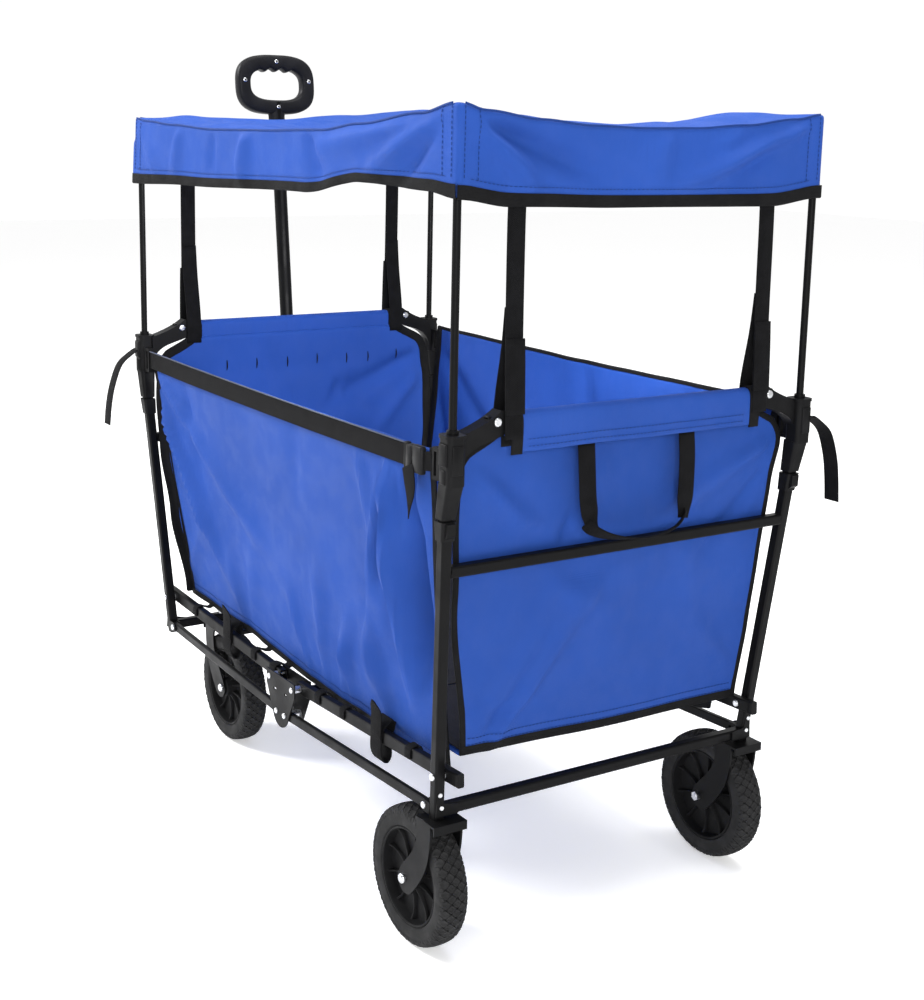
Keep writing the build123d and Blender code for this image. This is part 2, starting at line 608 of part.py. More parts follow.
def side_panel():
    """The left fabric wall, leaning out from the floor to the webbing at its top."""
    tilt = atan2(SIDE_Y_HIGH - SIDE_Y_LOW, SIDE_HIGH - SIDE_LOW)
    frame = Plane((0, -SIDE_Y_LOW, SIDE_LOW), x_dir=(1, 0, 0), z_dir=(0, -cos(tilt), -sin(tilt)))
    rise = (SIDE_HIGH - SIDE_LOW) / cos(tilt)
    edge_low, edge_high = post_x(SIDE_LOW) - 14, post_x(SIDE_HIGH) - 33
    shape = outline((-edge_low, 0), (edge_low, 0), (edge_high, rise), (-edge_high, rise))
    return extrude(frame * shape, amount=-PANEL_T)


def side_strap():
    """Webbing along the left side's top edge, from bracket to bracket."""
    return block(-449, 388, -288 - STRAP_T, -288, 648, 648 + STRAP_W)


def strap_tail():
    """Loose end of the left webbing, hanging from the front left bracket."""
    outer = Spline((-299, 675), (-326, 652), (-342, 612), (-350, 549))
    inner = Spline((-351.6, 549), (-343.6, 612), (-327.4, 653), (-299, 676.8))
    end, start = Line((-350, 549), (-351.6, 549)), Line((-299, 676.8), (-299, 675))
    return in_yz(make_face(outer + end + inner + start), -492 - STRAP_W / 2, -492 + STRAP_W / 2)


def buckle():
    """Side-release buckle near the rear end of the left webbing."""
    body = Pos(412, -293, 661) * Box(46, 9, 36)
    body = fillet(body.edges().filter_by(Axis.Z), 3)
    body = body - (block(414, 420, -310, -280, 640, 650) + block(414, 420, -310, -280, 672, 682))
    bar = block(436, 448, -292, -290, 650, 674)
    return body + bar


def floor_board(index):
    """One board of the folding floor mat, counted from the front."""
    length = BOARDS * BOARD_PITCH - (BOARD_PITCH - BOARD_L)
    start = index * BOARD_PITCH - length / 2
    low = FLOOR_Z + PANEL_T + 0.2
    return block(start, start + BOARD_L, -218, 218, low, low + MAT_T)


def basket():
    keep("rear_panel", end_panel())
    keep("front_panel", flip_x(end_panel()))
    keep("carry_loop", carry_loop())
    keep("side_panel_left", side_panel())
    keep("side_panel_right", flip_y(side_panel()))
    keep("basket_floor", block(-418, 418, -226, 226, FLOOR_Z, FLOOR_Z + PANEL_T))
    keep("floor_mat", [floor_board(index) for index in range(BOARDS)])
    webbing = [side_strap(), strap_tail()]
    keep("side_straps", webbing, [flip_x(flip_y(piece)) for piece in webbing])
    keep("buckle_left", buckle())
    keep("buckle_right", flip_x(flip_y(buckle())))


# ---------------------------------------------------------------- canopy
def pole(drop):
    """A rear left canopy pole with the ring that rests on its socket."""
    top = CANOPY_TOP - 4 - drop
    stem = rod((SOCKET_X, -SOCKET_Y, SOCKET_Z - POLE_SEAT - drop), (SOCKET_X, -SOCKET_Y, top), POLE_R)
    stem = fillet(stem.edges().group_by(Axis.Z)[-1], 2.5)
    return stem + rod((SOCKET_X, -SOCKET_Y, SOCKET_Z), (SOCKET_X, -SOCKET_Y, SOCKET_Z + 5), POLE_R + 2.5)


def canopy_cover():
    """Rectangular canopy: a flat top sheet with a hanging valance all round."""
    outer = block(-CANOPY_X, CANOPY_X, -CANOPY_Y, CANOPY_Y, VALANCE_BOTTOM, CANOPY_TOP)
    cloth = 1.6
    hollow = block(-CANOPY_X + cloth, CANOPY_X - cloth, -CANOPY_Y + cloth, CANOPY_Y - cloth,
                   VALANCE_BOTTOM - 5, CANOPY_TOP - cloth)
    return outer - hollow


def canopy_strap():
    """Webbing from inside the rear valance down to the end panel's top, left of the middle."""
    x = ARM_X + 10.8
    return block(x, x + 1.4, -214, -190, 705, 1000)


def canopy():
    left = pole(0)
    keep("canopy_poles_rear", both_sides(left))
    keep("canopy_poles_front", flip_x(pole(LOOSE_POLE_DROP)), flip_x(flip_y(left)))
    keep("canopy_cover", canopy_cover())
    keep("canopy_straps_rear", both_sides(canopy_strap()))
    keep("canopy_straps_front", [flip_x(p) for p in both_sides(canopy_strap())])


# ---------------------------------------------------------------- the whole wagon
end_frame("rear", lambda solid: solid)
end_frame("front", flip_x)
running_gear()
folding_sides()
pull_handle()
basket()
canopy()

os.makedirs("parts", exist_ok=True)
for name, solids in nodes.items():
    pieces = []
    for solid in solids:
        pieces.extend((Pos(ORIGIN_X, 0, ORIGIN_Z) * solid).solids())
    export_step(pieces[0] if len(pieces) == 1 else Compound(pieces), "parts/" + name + ".step")
print(len(nodes), "nodes")
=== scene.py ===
import math
import bmesh
import bpy
from mathutils import Matrix, Vector, noise


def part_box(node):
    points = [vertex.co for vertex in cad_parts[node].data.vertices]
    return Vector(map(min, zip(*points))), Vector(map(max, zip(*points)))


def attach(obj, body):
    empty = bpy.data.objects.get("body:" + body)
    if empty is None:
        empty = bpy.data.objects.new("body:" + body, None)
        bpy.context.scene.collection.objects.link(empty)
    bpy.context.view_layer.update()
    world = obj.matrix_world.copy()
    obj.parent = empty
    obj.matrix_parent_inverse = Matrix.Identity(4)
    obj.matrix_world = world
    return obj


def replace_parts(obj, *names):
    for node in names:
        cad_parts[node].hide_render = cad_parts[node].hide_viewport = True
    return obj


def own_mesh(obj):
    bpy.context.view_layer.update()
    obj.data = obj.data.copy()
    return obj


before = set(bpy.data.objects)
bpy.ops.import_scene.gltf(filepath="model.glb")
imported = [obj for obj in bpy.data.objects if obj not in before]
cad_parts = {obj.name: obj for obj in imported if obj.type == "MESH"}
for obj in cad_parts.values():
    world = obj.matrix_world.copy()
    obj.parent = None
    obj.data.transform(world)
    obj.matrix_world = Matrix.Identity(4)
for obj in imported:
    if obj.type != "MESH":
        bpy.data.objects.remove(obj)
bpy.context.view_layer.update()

# Looks of a folding wagon: cloth basket, webbing, canopy, wheels and grip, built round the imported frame.
# The front is at -X, where the pull handle is; "left" is -Y, the side nearest the camera.
# Part coordinates are millimetres from the middle of the end frames, in which the rear posts end at POST_FOOT;
# at() gives metres in the row frame.
SHIFT = (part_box("rear_posts")[1][0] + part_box("front_posts")[0][0]) / 2
POST_FOOT = 188.0
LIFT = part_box("rear_posts")[0][2] - POST_FOOT / 1000
SIDE_WORD = {-1: "left", 1: "right"}
END_WORD = {-1: "front", 1: "rear"}
X_AXIS, Y_AXIS, Z_AXIS = Vector((1, 0, 0)), Vector((0, 1, 0)), Vector((0, 0, 1))


def at(x, y, z):
    """Row-frame place of a point given in part millimetres."""
    return Vector((x / 1000 + SHIFT, y / 1000, z / 1000 + LIFT))


def clamp(v, lo=0.0, hi=1.0):
    return max(lo, min(hi, v))


def between(pair, t):
    """Value a share t of the way from the first of a pair to the second."""
    return pair[0] + (pair[1] - pair[0]) * t


def smooth(a, b, v):
    """Rises softly from 0 at a to 1 at b."""
    t = clamp((v - a) / (b - a))
    return t * t * (3 - 2 * t)


def table(points, v):
    """Smooth value through (position, value) pairs, for seams and hems."""
    if v <= points[0][0]:
        return points[0][1]
    for (a, p), (b, q) in zip(points, points[1:]):
        if v <= b:
            return p + (q - p) * smooth(a, b, v)
    return points[-1][1]


def net(point, across, up):
    """Rows of places over a sheet: point gives part millimetres from shares across and up."""
    return [[at(*point(i / across, j / up)) for i in range(across + 1)] for j in range(up + 1)]


def wave(x, y, z, scale, seed=0.0):
    """Soft noise between about -1 and 1."""
    return noise.noise(Vector((x / scale + seed, y / scale - seed, z / scale + 2 * seed)))


# ---------------------------------------------------------------- materials
class Nodes:
    """A small writer of node materials."""

    def __init__(self, name, color, rough, metallic=0.0, **sockets):
        self.mat = bpy.data.materials.new(name)
        self.mat.use_nodes = True
        self.tree = self.mat.node_tree
        self.shader = self.tree.nodes["Principled BSDF"]
        self.shader.inputs["Base Color"].default_value = (*color, 1)
        self.shader.inputs["Roughness"].default_value = rough
        self.shader.inputs["Metallic"].default_value = metallic
        for key, value in sockets.items():
            self.shader.inputs[key.replace("_", " ")].default_value = value
        self.coords = self.add("ShaderNodeTexCoord").outputs["Object"]

    def add(self, kind, **settings):
        node = self.tree.nodes.new(kind)
        for key, value in settings.items():
            setattr(node, key, value)
        return node

    def link(self, a, b):
        self.tree.links.new(a, b)

    def put(self, socket, value):
        if isinstance(value, (int, float)):
            socket.default_value = value
        elif isinstance(value, tuple):
            socket.default_value = (*value, 1)
        else:
            self.link(value, socket)

    def math(self, op, a, b=0.0):
        node = self.add("ShaderNodeMath", operation=op)
        for socket, value in zip(node.inputs, (a, b)):
            self.put(socket, value)
        return node.outputs[0]

    def noise(self, scale, detail=3.0, rough=0.5, stretch=None):
        node = self.add("ShaderNodeTexNoise")
        node.inputs["Scale"].default_value = scale
        node.inputs["Detail"].default_value = detail
        node.inputs["Roughness"].default_value = rough
        source = self.coords
        if stretch:
            mapping = self.add("ShaderNodeMapping")
            mapping.inputs["Scale"].default_value = stretch
            self.link(source, mapping.inputs["Vector"])
            source = mapping.outputs[0]
        self.link(source, node.inputs["Vector"])
        return node.outputs["Fac"]

    def ramp(self, value, low, high, a=0.35, b=0.65):
        node = self.add("ShaderNodeMapRange")
        node.interpolation_type = "SMOOTHSTEP"
        for socket, v in zip(node.inputs, (value, a, b, low, high)):
            self.put(socket, v)
        return node.outputs[0]

    def mix(self, value, a, b):
        node = self.add("ShaderNodeMix", data_type="RGBA")
        self.put(node.inputs["Factor"], value)
        self.put(node.inputs["A"], a)
        self.put(node.inputs["B"], b)
        return node.outputs["Result"]

    def color(self, value):
        self.link(value, self.shader.inputs["Base Color"])

    def rough(self, value):
        self.link(value, self.shader.inputs["Roughness"])

    def bump(self, height, distance, strength=1.0, under=None):
        node = self.add("ShaderNodeBump")
        node.inputs["Strength"].default_value = strength
        node.inputs["Distance"].default_value = distance
        self.link(height, node.inputs["Height"])
        if under is not None:
            self.link(under, node.inputs["Normal"])
        self.link(node.outputs[0], self.shader.inputs["Normal"])
        return node.outputs[0]


def twill(n, pitch):
    """Height of a plain weave that works on walls facing X, Y or Z."""
    split = n.add("ShaderNodeSeparateXYZ")
    n.link(n.coords, split.inputs[0])
    x, y, z = split.outputs
    k = 2 * math.pi / pitch
    a = n.math("SINE", n.math("MULTIPLY", n.math("ADD", x, y), k))
    b = n.math("SINE", n.math("MULTIPLY", n.math("SUBTRACT", n.math("ADD", z, x), y), k))
    return n.math("MULTIPLY", a, b)


def scaled(color, k):
    return tuple(min(1.0, c * k) for c in color)


def cloth_material(name, color, rough=0.62, sheen=0.06, pitch=0.0011, weave=0.00012):
    n = Nodes(name, color, rough, Sheen_Weight=sheen, Sheen_Roughness=0.35, Specular_IOR_Level=0.12)
    n.shader.inputs["Sheen Tint"].default_value = (*scaled(color, 1.6), 1)
    tint = n.ramp(n.noise(5.0, 4.0), 0.0, 1.0, 0.3, 0.7)
    base = n.mix(tint, scaled(color, 0.93), scaled(color, 1.06))
    slub = n.noise(260.0, 2.0, 0.6, (1.0, 1.0, 0.12))
    n.color(n.mix(n.ramp(slub, 0.0, 0.25, 0.45, 0.8), base, scaled(color, 0.82)))
    n.rough(n.ramp(n.noise(30.0, 3.0), rough - 0.06, rough + 0.08))
    first = n.bump(n.noise(38.0, 4.0, 0.55), 0.0009, 0.5)
    n.bump(twill(n, pitch), weave, 0.8, first)
    return n.mat


def webbing_material(name, color):
    """Ribbed webbing: ribs across the band from the UV map, whose first axis is its length in metres."""
    n = Nodes(name, color, 0.78, Sheen_Weight=0.01, Sheen_Roughness=0.4, Specular_IOR_Level=0.06)
    uv = n.add("ShaderNodeTexCoord").outputs["UV"]
    split = n.add("ShaderNodeSeparateXYZ")
    n.link(uv, split.inputs[0])
    ribs = n.math("SINE", n.math("MULTIPLY", split.outputs[0], 2 * math.pi / 0.0024))
    rows = n.math("SINE", n.math("MULTIPLY", split.outputs[1], 2 * math.pi / 0.0036))
    cells = n.math("MULTIPLY", ribs, rows)
    base = n.mix(n.ramp(n.noise(60.0), 0.0, 1.0, 0.3, 0.7), scaled(color, 0.85), scaled(color, 1.25))
    n.color(n.mix(n.ramp(cells, 0.0, 0.4, 0.1, 0.9), base, scaled(color, 1.7)))
    first = n.bump(n.noise(90.0, 3.0), 0.0005, 0.4)
    n.bump(cells, 0.00035, 0.8, first)
    return n.mat


def plastic_material(name, color, rough=0.48, grain=700.0):
    n = Nodes(name, color, rough, Specular_IOR_Level=0.08)
    n.color(n.mix(n.ramp(n.noise(40.0, 4.0), 0.0, 1.0, 0.35, 0.7), scaled(color, 0.9), scaled(color, 1.2)))
    n.rough(n.ramp(n.noise(25.0, 4.0), rough - 0.07, rough + 0.12))
    n.bump(n.noise(grain, 2.0), 0.00012, 0.6)
    return n.mat


def paint_material(name, color):
    n = Nodes(name, color, 0.42, Specular_IOR_Level=0.08)
    worn = n.ramp(n.noise(55.0, 6.0, 0.7), 0.0, 0.5, 0.66, 0.78)
    n.color(n.mix(worn, color, scaled(color, 2.4)))
    n.rough(n.ramp(n.noise(18.0, 4.0), 0.33, 0.5))
    n.bump(n.noise(420.0, 3.0), 0.00015, 0.5)
    return n.mat


def steel_material(name, color):
    n = Nodes(name, color, 0.28, 1.0)
    n.color(n.mix(n.ramp(n.noise(90.0, 4.0), 0.0, 1.0), scaled(color, 0.8), scaled(color, 1.1)))
    n.rough(n.ramp(n.noise(140.0, 4.0), 0.2, 0.42))
    n.bump(n.noise(300.0, 3.0), 0.00008, 0.5)
    return n.mat


def rubber_material(name, color):
    n = Nodes(name, color, 0.78, Specular_IOR_Level=0.2)
    dust = n.ramp(n.noise(22.0, 5.0, 0.65), 0.0, 0.45, 0.5, 0.75)
    n.color(n.mix(dust, color, scaled(color, 2.2)))
    n.rough(n.ramp(n.noise(60.0), 0.68, 0.88))
    n.bump(n.noise(520.0, 3.0), 0.0003, 0.5)
    return n.mat


BLUE = (0.0158, 0.0585, 0.283)
BLACK = (0.0048, 0.0048, 0.0054)
M = {
    "blue": cloth_material("blue_cloth", BLUE),
    # The canopy's colour is the walls' blue made lighter: painted light, standing in for the brighter light
    # that falls on the canopy.
    "canopy": cloth_material("canopy_cloth", scaled(BLUE, 1.12), 0.66, 0.08),
    "binding": cloth_material("binding_cloth", BLACK, 0.8, 0.01, 0.0016, 0.0002),
    "mat": cloth_material("mat_cloth", (0.02, 0.02, 0.023), 0.8, 0.1),
    "webbing": webbing_material("webbing", BLACK),
    "paint": paint_material("frame_paint", (0.0038, 0.0038, 0.0041)),
    "plastic": plastic_material("bracket_plastic", (0.0058, 0.0058, 0.0063)),
    "grip": plastic_material("grip_plastic", (0.012, 0.012, 0.0135), 0.42, 900.0),
    "steel": steel_material("fastener_steel", (0.62, 0.63, 0.65)),
    "rubber": rubber_material("tyre_rubber", (0.0125, 0.0125, 0.013)),
    "buckle": plastic_material("buckle_plastic", (0.011, 0.011, 0.012), 0.38),
    "piping": cloth_material("piping_cloth", (0.07, 0.08, 0.11), 0.6, 0.05),
    "thread": cloth_material("thread", scaled(BLUE, 0.62), 0.6, 0.05),
    "rim": plastic_material("rim_plastic", (0.007, 0.007, 0.0075), 0.5),
}
NODE_LOOK = {
    "rear_corner_brackets": "plastic", "front_corner_brackets": "plastic",
    "rear_rail_caps": "plastic", "front_rail_caps": "plastic",
    "rear_fasteners": "steel", "front_fasteners": "steel", "middle_pins": "steel",
    "caster_axle_left": "steel", "caster_axle_right": "steel", "caster_stems": "steel",
    "handle_collar": "plastic", "handle_button": "grip",
}


# Millimetres taken off the edges of the nodes whose own mesh is shown.
EDGE_ROUND = {
    "rear_forks": 0.7, "caster_fork_left": 0.7, "caster_fork_right": 0.7, "middle_brackets": 0.5,
    "rear_corner_brackets": 1.0, "front_corner_brackets": 1.0, "rear_gussets": 0.5, "front_gussets": 0.5,
    "handle_bracket": 0.6, "rear_rail_caps": 0.8, "front_rail_caps": 0.8,
}


# ---------------------------------------------------------------- mesh tools
class Shape:
    """Vertices and faces gathered for one object."""

    def __init__(self):
        self.verts, self.faces, self.uvs = [], [], {}

    def grid(self, rows, closed=False, uv=None):
        """Quads between rows of points; closed joins each row's ends."""
        start = len(self.verts)
        wide = len(rows[0])
        for row in rows:
            self.verts.extend(row)
        for i in range(len(rows) - 1):
            for j in range(wide if closed else wide - 1):
                k = (j + 1) % wide
                a, b = start + i * wide + j, start + i * wide + k
                face = (a, b, b + wide, a + wide)
                self.faces.append(face)
        if uv:
            for i in range(len(rows)):
                for j in range(wide):
                    self.uvs[start + i * wide + j] = uv(i, j)
        return start

    def fan(self, loop):
        """Close a loop of existing vertices with one face."""
        self.faces.append(tuple(loop))

    def build(self, name, material, body, smooth_angle=None):
        mesh = bpy.data.meshes.new(name)
        mesh.from_pydata([tuple(v) for v in self.verts], [], self.faces)
        mesh.update()
        if self.uvs:
            layer = mesh.uv_layers.new(name="UVMap")
            for loop in mesh.loops:
                layer.data[loop.index].uv = self.uvs.get(loop.vertex_index, (0, 0))
        obj = bpy.data.objects.new(name, mesh)
        bpy.context.scene.collection.objects.link(obj)
        mesh.materials.append(material)
        for p in mesh.polygons:
            p.use_smooth = True
        if smooth_angle:
            sharpen(obj, smooth_angle)
        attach(obj, body)
        return obj


def sharpen(obj, degrees):
    """Mark edges over an angle as sharp, so that flat faces stay flat under smooth shading."""
    mesh = obj.data
    faces = {}
    for p in mesh.polygons:
        for key in p.edge_keys:
            faces.setdefault(key, []).append(p.normal.copy())
    limit = math.radians(degrees)
    for edge in mesh.edges:
        found = faces.get(edge.key, [])
        if len(found) == 2 and min(n.length for n in found) > 0 and found[0].angle(found[1]) > limit:
            edge.use_edge_sharp = True


def fix_normals(obj):
    """Turn every face outwards."""
    bm = bmesh.new()
    bm.from_mesh(obj.data)
    bmesh.ops.recalc_face_normals(bm, faces=bm.faces)
    bm.to_mesh(obj.data)
    bm.free()


def settle(obj):
    """Turn an object's modifiers into its mesh."""
    bpy.context.view_layer.update()
    graph = bpy.context.evaluated_depsgraph_get()
    mesh = bpy.data.meshes.new_from_object(obj.evaluated_get(graph))
    obj.modifiers.clear()
    obj.data = mesh
    return obj


def thicken(obj, thickness):
    """Give a sheet its thickness, half on each side."""
    mod = obj.modifiers.new("thick", "SOLIDIFY")
    mod.thickness = thickness
    mod.offset = 0.0
    return settle(obj)


def weld(obj, reach):
    """Join vertices that are closer than reach, in metres."""
    mod = obj.modifiers.new("weld", "WELD")
    mod.merge_threshold = reach
    return settle(obj)


def rounded(obj, width):
    """Round the edges of a shown CAD node that are sharper than 35 degrees."""
    mod = obj.modifiers.new("round", "BEVEL")
    mod.width = width
    mod.segments = 2
    mod.limit_method = "ANGLE"
    mod.angle_limit = math.radians(35)


def resample(points, step):
    """Even points along a Catmull-Rom curve through the given points."""
    pts = [points[0] * 2 - points[1]] + list(points) + [points[-1] * 2 - points[-2]]
    dense = []
    for i in range(1, len(pts) - 2):
        a, b, c, d = pts[i - 1:i + 3]
        for k in range(12):
            t = k / 12
            dense.append(0.5 * ((2 * b) + (c - a) * t + (2 * a - 5 * b + 4 * c - d) * t * t
                                + (3 * b - a - 3 * c + d) * t ** 3))
    dense.append(pts[-2])
    total = sum((q - p).length for p, q in zip(dense, dense[1:]))
    count = max(2, round(total / step))
    found, run, k = [dense[0]], 0.0, 0
    for i in range(1, count + 1):
        goal = total * i / count
        while k < len(dense) - 2 and run + (dense[k + 1] - dense[k]).length < goal:
            run += (dense[k + 1] - dense[k]).length
            k += 1
        seg = (dense[k + 1] - dense[k]).length
        found.append(dense[k].lerp(dense[k + 1], clamp((goal - run) / seg) if seg else 0))
    return found


def band(shape, points, across, width, thick, step=0.006, taper=None):
    """A webbing strip along a path; across is a vector, or a function of the share along the path."""
    path = resample(points, step)
    rows = []
    for i, p in enumerate(path):
        tangent = (path[min(i + 1, len(path) - 1)] - path[max(i - 1, 0)]).normalized()
        share = i / (len(path) - 1)
        side = across(share) if callable(across) else across
        side = (side - tangent * side.dot(tangent)).normalized()
        up = tangent.cross(side)
        w = width / 2 * (taper(share) if taper else 1.0)
        h = thick / 2
        ring = [(-w, -h * 0.5), (-w + h, -h), (0, -h * 0.92), (w - h, -h), (w, -h * 0.5),
                (w, h * 0.5), (w - h, h), (0, h * 0.92), (-w + h, h), (-w, h * 0.5)]
        rows.append([p + side * u + up * v for u, v in ring])
    lengths = [0.0]
    for p, q in zip(path, path[1:]):
        lengths.append(lengths[-1] + (q - p).length)
    offsets = [-0.5, -0.48, 0, 0.48, 0.5, 0.5, 0.48, 0, -0.48, -0.5]
    start = shape.grid(rows, closed=True, uv=lambda i, j: (lengths[i], offsets[j] * width))
    wide = len(rows[0])
    shape.fan(range(start + wide - 1, start - 1, -1))
    last = start + (len(rows) - 1) * wide
    shape.fan(range(last, last + wide))
    return shape


def round_turn(count):
    """Even angles of one turn."""
    return [2 * math.pi * i / count for i in range(count)]


def lathe(shape, profile, centre, segments):
    """Revolve (radius, along) pairs round the Y line through centre."""
    rows = []
    for r, along in profile:
        rows.append([centre + Vector((r * math.cos(a), along, r * math.sin(a))) / 1000
                     for a in round_turn(segments)])
    return shape.grid(rows, closed=True)


# ---------------------------------------------------------------- camera, light and floor
# The view: angles in degrees, place in part millimetres, lens in millimetres, shift as a share of the frame.
CAMERA_TURN, CAMERA_RISE, CAMERA_ROLL = 57.27, 11.24, 1.11
CAMERA_PLACE = (1998.0, -1264.6, 1062.9)
CAMERA_LENS, CAMERA_SENSOR = 55.9552, 36.0
CAMERA_SHIFT = (0.0147, -0.06757)
FLOOR_REACH = 14.0
FLOOR_GLOW = 0.33
# The world glows from dim to bright between two shares of the direction that it is brightest towards.
WORLD_TOWARDS = (-0.84, 0.52, -0.1)
WORLD_SHARES, WORLD_GLOW = (0.35, 0.75), (0.62, 1.02)


def camera():
    """The camera at the view's angles and place."""
    data = bpy.data.cameras.new("camera")
    obj = bpy.data.objects.new("camera", data)
    bpy.context.scene.collection.objects.link(obj)
    az, el, roll = (math.radians(a) for a in (CAMERA_TURN, CAMERA_RISE, CAMERA_ROLL))
    out = Vector((math.sin(az) * math.cos(el), -math.cos(az) * math.cos(el), math.sin(el)))
    right = (-out).cross(Z_AXIS).normalized()
    up = right.cross(-out)
    rolled_right = right * math.cos(roll) + up * math.sin(roll)
    rolled_up = -right * math.sin(roll) + up * math.cos(roll)
    turn = Matrix((rolled_right, rolled_up, out)).transposed().to_4x4()
    obj.matrix_world = Matrix.Translation(at(*CAMERA_PLACE)) @ turn
    data.sensor_width = CAMERA_SENSOR
    data.lens = CAMERA_LENS
    data.shift_x, data.shift_y = CAMERA_SHIFT
    data.clip_end = 50
    bpy.context.scene.camera = obj


def area_light(name, place, look, size, power):
    """A white area light in watts, its size along and up in metres."""
    data = bpy.data.lights.new(name, "AREA")
    data.shape = "RECTANGLE"
    data.size, data.size_y = size
    data.energy = power
    obj = bpy.data.objects.new(name, data)
    bpy.context.scene.collection.objects.link(obj)
    obj.location = place
    obj.rotation_euler = (Vector(look) - Vector(place)).to_track_quat("-Z", "Y").to_euler()
    obj.visible_camera = False


def studio():
    """A pale floor, a soft white world and four area lights."""
    n = Nodes("studio_floor", (0.93, 0.93, 0.93), 0.9, Emission_Strength=FLOOR_GLOW)
    n.shader.inputs["Emission Color"].default_value = (1, 1, 1, 1)
    n.color(n.mix(n.noise(1.5), (0.92, 0.92, 0.92), (0.94, 0.94, 0.94)))
    mesh = bpy.data.meshes.new("floor")
    corners = [(x * FLOOR_REACH, y * FLOOR_REACH, 0) for x, y in ((-1, -1), (1, -1), (1, 1), (-1, 1))]
    mesh.from_pydata(corners, [], [(0, 1, 2, 3)])
    floor = bpy.data.objects.new("floor", mesh)
    bpy.context.scene.collection.objects.link(floor)
    mesh.materials.append(n.mat)
    world = bpy.data.worlds.new("studio")
    bpy.context.scene.world = world
    world.use_nodes = True
    tree = world.node_tree
    coords = tree.nodes.new("ShaderNodeTexCoord")
    dot = tree.nodes.new("ShaderNodeVectorMath")
    dot.operation = "DOT_PRODUCT"
    dot.inputs[1].default_value = WORLD_TOWARDS
    tree.links.new(coords.outputs["Generated"], dot.inputs[0])
    glow = tree.nodes.new("ShaderNodeMapRange")
    glow.interpolation_type = "SMOOTHSTEP"
    for socket, value in zip(list(glow.inputs)[1:5], WORLD_SHARES + WORLD_GLOW):
        socket.default_value = value
    tree.links.new(dot.outputs["Value"], glow.inputs[0])
    tree.links.new(glow.outputs[0], tree.nodes["Background"].inputs[1])
    tree.nodes["Background"].inputs[0].default_value = (1, 1, 1, 1)
    bpy.context.scene.view_settings.view_transform = "Standard"
    area_light("key", (-2.8, -2.75, 3.1), (0, 0, 0.6), (1.2, 1.2), 246)
    area_light("fill", (3.7, -1.9, 1.7), (0, 0, 0.6), (1.3, 1.0), 92)
    area_light("top", (0.3, 0.2, 3.6), (0, 0, 0.5), (2.6, 2.6), 120)
    area_light("inside", (0.30, -0.02, 0.90), (-0.38, 0.08, 0.56), (0.42, 0.20), 6.8)


camera()
studio()

for node_name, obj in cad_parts.items():
    look = NODE_LOOK.get(node_name, "paint")
    obj.data.materials.clear()
    obj.data.materials.append(M[look])
    for polygon in obj.data.polygons:
        polygon.material_index = 0
    if node_name in EDGE_ROUND:
        rounded(obj, EDGE_ROUND[node_name] / 1000)


# ---------------------------------------------------------------- fabric basket
# Thickness of cloth and webbing in metres.
WALL_THICK, COVER_THICK = 0.0013, 0.0012
WEB_THICK, STRAP_THICK = 0.0018, 0.0017
# Height of the side straps' middle, where the buckles sit.
STRAP_Z = 661
# Where the side walls start and end along X at the hem and at the top, and how far out they are there.
SIDE_HEM_X, SIDE_TOP_X, SIDE_Y = (-426, 402), (-450, 447), (-225, -285)
# Cells along and up a side wall and an end wall.
SIDE_CELLS, END_CELLS = (104, 52), (64, 54)
# Heights of the end walls' hem and top, and of the middle bar that they lie against.
END_HEM_Z, END_TOP_Z, MIDDLE_BAR_Z = 262, 696, 527
# Heights of the side walls' bottom hem along X, from the front to the rear.
SIDE_HEM = [(-443, 253), (-238, 248), (73, 231), (354, 225), (428, 238)]
SIDE_TOP = {-1: 677.0, 1: 690.0}
# Creases of a wall: (start, end, half width, height), in the wall's own (along, up) millimetres.
NEAR_CREASES = [
    ((-440, 610), (-240, 330), 13, 5.5), ((-446, 560), (-385, 300), 13, 4.0),
    ((-430, 640), (-20, 380), 15, 7.0), ((-432, 600), (-200, 262), 12, 5.5),
    ((-330, 650), (-300, 420), 18, -3.5), ((250, 660), (300, 300), 18, 4.5),
    ((331, 632), (338, 262), 15, 14.0), ((387, 664), (366, 330), 17, -20.0),
    ((300, 600), (215, 250), 14, 7.0), ((420, 640), (180, 260), 26, 4.5),
    ((70, 240), (105, 470), 15, 5.0), ((20, 245), (-15, 400), 11, 5.5),
    ((120, 240), (180, 400), 11, 6.0), ((150, 236), (150, 350), 9, 4.5),
    ((-215, 255), (-235, 400), 13, 4.0), ((-180, 255), (-110, 470), 22, 3.5),
    ((260, 240), (220, 420), 16, 4.5), ((-420, 300), (-270, 450), 18, 3.5),
    ((60, 655), (40, 470), 26, -3.5),
]
FAR_CREASES = [
    ((-430, 650), (-120, 420), 20, 5.0), ((420, 650), (200, 380), 22, 5.0),
    ((-440, 600), (-330, 350), 16, 4.5), ((0, 690), (40, 480), 26, 4.0),
    ((250, 690), (300, 520), 22, 4.0), ((-300, 260), (-200, 500), 24, 4.0),
]
END_CREASES = [
    ((-235, 640), (30, 380), 22, 6.5), ((-190, 250), (-20, 520), 15, 8.0),
    ((240, 640), (60, 560), 16, 5.5), ((245, 600), (120, 470), 14, -4.0),
    ((-215, 285), (-70, 500), 20, 6.0), ((-225, 330), (-120, 300), 14, -3.5),
    ((240, 290), (90, 430), 22, 3.5), ((-84, 580), (-120, 480), 14, -4.5),
    ((80, 600), (60, 500), 12, 4.0), ((105, 600), (150, 380), 22, 3.0),
    ((-60, 690), (-40, 560), 20, 3.0),
]


# How much deeper the creases are than their listed heights.
CREASE_DEPTH = 1.8


